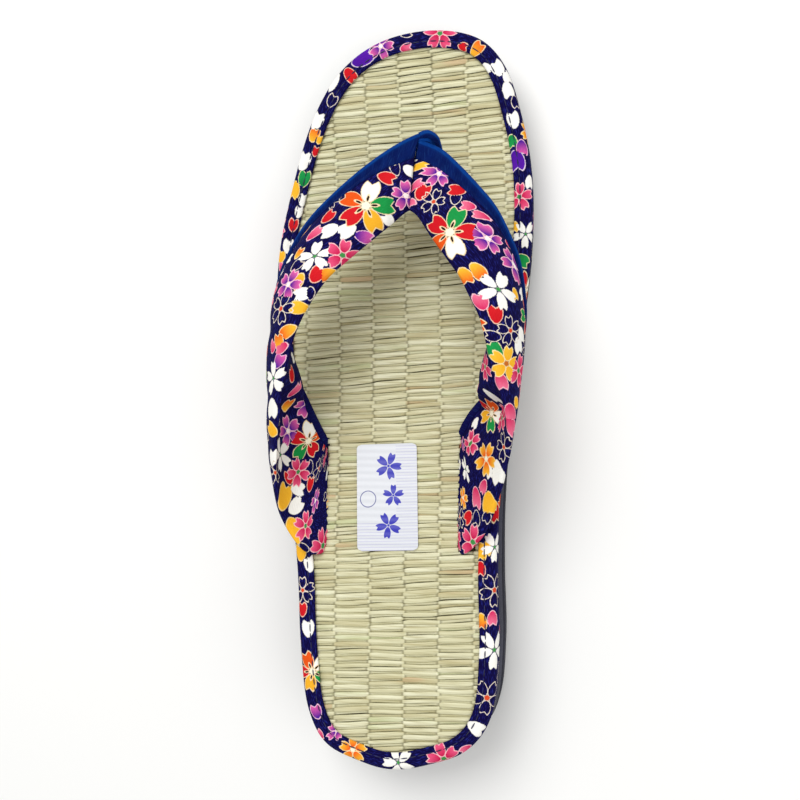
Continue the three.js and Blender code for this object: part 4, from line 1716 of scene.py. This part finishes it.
# Angles round the cord, and those that take the tape's place where the cord is bare
cord_angles = np.radians(np.linspace(70, 290, 17))
bare_degrees = np.array([8, 20, 33, 46, 58])
round_angles = np.concatenate([np.radians(bare_degrees), cord_angles, np.radians(360 - bare_degrees[::-1])])

# Cloth coordinates round the piping: the tape is below 0 and past the cord's turn
tape_turn = 2.5
cord_turn = 8.0

# %% Sections along the piping
piping_step = 0.07
tape_start = 0.3
tip_stations = 60


def cord_ring(middle, across, outward, angles):
    """Round sections about the points of a line."""
    ways = np.cos(angles)[:, None] * across[:, None] + np.sin(angles)[:, None] * outward[:, None]
    return middle[:, None] + cord_radius * ways


def piping_run(name):
    """Sections along the strap: cord in front, tape over both faces behind it."""
    at = np.arange(first_rows[name], len(halves[name]["rows"]) - 1, piping_step)
    form = strap_form(name, at)
    middle = form["front"] + form["across"] * cord_radius
    rows, *widths = np.array(tape_rows).T
    reach = np.interp(at, rows, widths[list(halves).index(name)])[:, None]
    share = reach * tape_section[:, 0] / form["width"]
    upper = strap_points(form, share, 1, tape_section[:, 1])
    lower = strap_points(form, share, -1, tape_section[:, 1])[:, ::-1]
    cord = cord_ring(middle, form["across"], form["outward"], cord_angles)
    taped = np.concatenate([upper, cord, lower], axis=1)
    bare = cord_ring(middle, form["across"], form["outward"], round_angles)
    settled = ease((form["walk"] - form["walk"][0]) / tape_start)[:, None, None]
    return taped * settled + bare * (1 - settled), middle, form


def piping_tip(name, middle, form):
    """Round sections from the toe hole to the strap, turned along with the cord."""
    tip = np.array(piping_tips[name])
    tip = np.column_stack([tip[:, :2], mat_height(tip[:, 1]) + tip[:, 2]])
    line = np.vstack([tip, middle[:4:2]])
    length = line_length(line)
    walk = np.linspace(0, length[len(tip)], tip_stations)[:-1]
    way = smooth(length, line, walk)
    forward = unit_rows(np.gradient(np.vstack([way, middle[:1]]), axis=0))[:-1]
    across = np.empty_like(way)
    carried = form["across"][0]
    for step in range(len(way) - 1, -1, -1):
        carried = carried - forward[step] * np.dot(carried, forward[step])
        carried = carried / np.linalg.norm(carried)
        across[step] = carried
    outward = np.cross(across, forward) * halves[name]["outward"]
    return cord_ring(way, across, outward, round_angles)


def piping_piece(name):
    run, middle, form = piping_run(name)
    rings = np.concatenate([piping_tip(name, middle, form), run])
    rings = np.concatenate([rings, rings[:, :1]], axis=1)
    walk = line_length(rings.mean(axis=1))
    around = np.linspace(0, tape_turn * 2 + cord_turn, rings.shape[1]) - tape_turn
    piece = grid_skin(name + "_piping_tape", rings, np.dstack(np.meshgrid(around, walk)))
    close_skin(piece)
    return piece

# %% Piping finish and both pieces
bias_thread = 0.6

piping_finish, tree, shader = new_finish("blue_bias_tape")
cloth = cloth_place(tree)
bias_turn = {"Vector": cloth, "Rotation": (0, 0, math.radians(45))}
bias = add_node(tree, "ShaderNodeMapping", bias_turn).outputs["Vector"]
cotton = place_group(tree, threads, Cloth=bias, Thread=bias_thread)
patches = noise(tree, cloth, 0.35, 2)
around, walk = axes_of(tree, cloth)[:2]
# Painted highlight: the round cord is painted a lighter blue than the flat tape of the same cloth
cord_highlight_blue = ramp(tree, patches, [(0.3, ink("#033076")), (0.7, ink("#053b86"))])["Color"]
tape_blue = ramp(tree, patches, [(0.3, ink("#03124a")), (0.7, ink("#041c5a"))])["Color"]
blue = mixed(tree, spread(tree, around, -0.25, 0.5), tape_blue, cord_highlight_blue)
# Painted shade: the piping darkens to navy towards the tails, which lie in the strap's shade
blue_shaded_to_tail = mixed(tree, spread(tree, walk, 80.0, 115.0), blue, ink("#0e0b45"))
# Painted highlight: pale flecks where the threads catch the light
flecked = mixed(tree, maths(tree, "MULTIPLY", cotton["Fleck"], 0.18), blue_shaded_to_tail, ink("#2b5a9c"))
feed_all(tree, shader, {
    "Base Color": flecked,
    "Roughness": 0.75,
    "Specular IOR Level": 0.04,
    "Normal": bumped(tree, cotton["Height"], 0.1 * mm),
})
for name in halves:
    settle(piping_piece(name), piping_finish, "piping", "piping_" + name)

# %% [markdown]
# ## Label on the mat
# A coated paper label lies on the mat between the slits and follows its slope. It has fine lilac rules,
# three plain blossoms and a ring.

# %% Paper label
label_width = 21
label_length = 36
label_corner = 1.6
label_middle = (-4.5, -34.7)
label_turn = 0.04
label_level = 0.42
label_thickness = 0.16
label_ripple = 0.035
label_columns = 43
label_rows = 73
sharp_edge = math.radians(40)


def label_piece():
    """Thin sheet with rounded corners that takes up a little of the rows below it."""
    across, along = np.meshgrid(np.linspace(-1, 1, label_columns), np.linspace(-1, 1, label_rows))
    y = along * (label_length / 2)
    over = np.clip(np.abs(y) - (label_length / 2 - label_corner), 0, None)
    pull = label_corner - np.sqrt(np.clip(label_corner**2 - over**2, 0, None))
    x = across * (label_width / 2 - pull)
    plan_x = label_middle[0] + x * math.cos(label_turn) - y * math.sin(label_turn)
    plan_y = label_middle[1] + x * math.sin(label_turn) + y * math.cos(label_turn)
    ripple = label_ripple * np.sin(2 * math.pi * plan_y / row_pitch)
    points = np.dstack([plan_x, plan_y, mat_height(plan_y) + label_level + ripple])
    piece = grid_skin("mat_label", points, np.dstack([x, y]))
    select_only(piece)
    solid = piece.modifiers.new("paper", "SOLIDIFY")
    solid.thickness = label_thickness * mm
    solid.offset = 1
    bpy.ops.object.modifier_apply(modifier="paper")
    bpy.ops.object.shade_smooth_by_angle(angle=sharp_edge)
    return piece

# %% Label finish
rule_pitch = 1.0
rule_share = 0.2
rules_right_of = 3.2
rules_below = -8.0
ring_middle = (-6.6, -0.6, 0)
ring_radius = 2.7

# Three plain blossoms down the middle
label_marks = [
    # place with turn, size
    ((0.6, 10.4, 1.2), 4.6),
    ((2.2, 0.4, 0.3), 3.7),
    ((0.4, -9.6, 0.8), 4.4),
]

label_finish, tree, shader = new_finish("coated_paper")
cloth = cloth_place(tree)
calc = partial(maths, tree)
axes = axes_of(tree, cloth)
rule = calc("LESS_THAN", calc("FRACT", calc("DIVIDE", axes["Y"], rule_pitch)), rule_share)
right_side = calc("GREATER_THAN", axes["X"], rules_right_of)
foot_side = calc("LESS_THAN", axes["Y"], rules_below)
ruled = calc("MULTIPLY", rule, calc("MAXIMUM", right_side, foot_side))
card = mixed(tree, calc("MULTIPLY", ruled, 0.6), ink("#d2d5da"), ink("#a29ec8"))
for spot, size in label_marks:
    mark = place_group(tree, blossom, Cloth=cloth, Place=spot, Style=(size, float(kind_number["white"]), 0))
    card = mixed(tree, mark["Mask"], card, ink("#1d1fa8"))
from_middle = vector_maths(tree, "DISTANCE", cloth, ring_middle)
off_ring = calc("ABSOLUTE", calc("SUBTRACT", from_middle, ring_radius))
card = mixed(tree, spread(tree, off_ring, 0.2, 0.1), card, ink("#4a4f8c"))
feed_all(tree, shader, {"Base Color": card, "Roughness": 0.35})
settle(label_piece(), label_finish, "paper", "footbed_label")
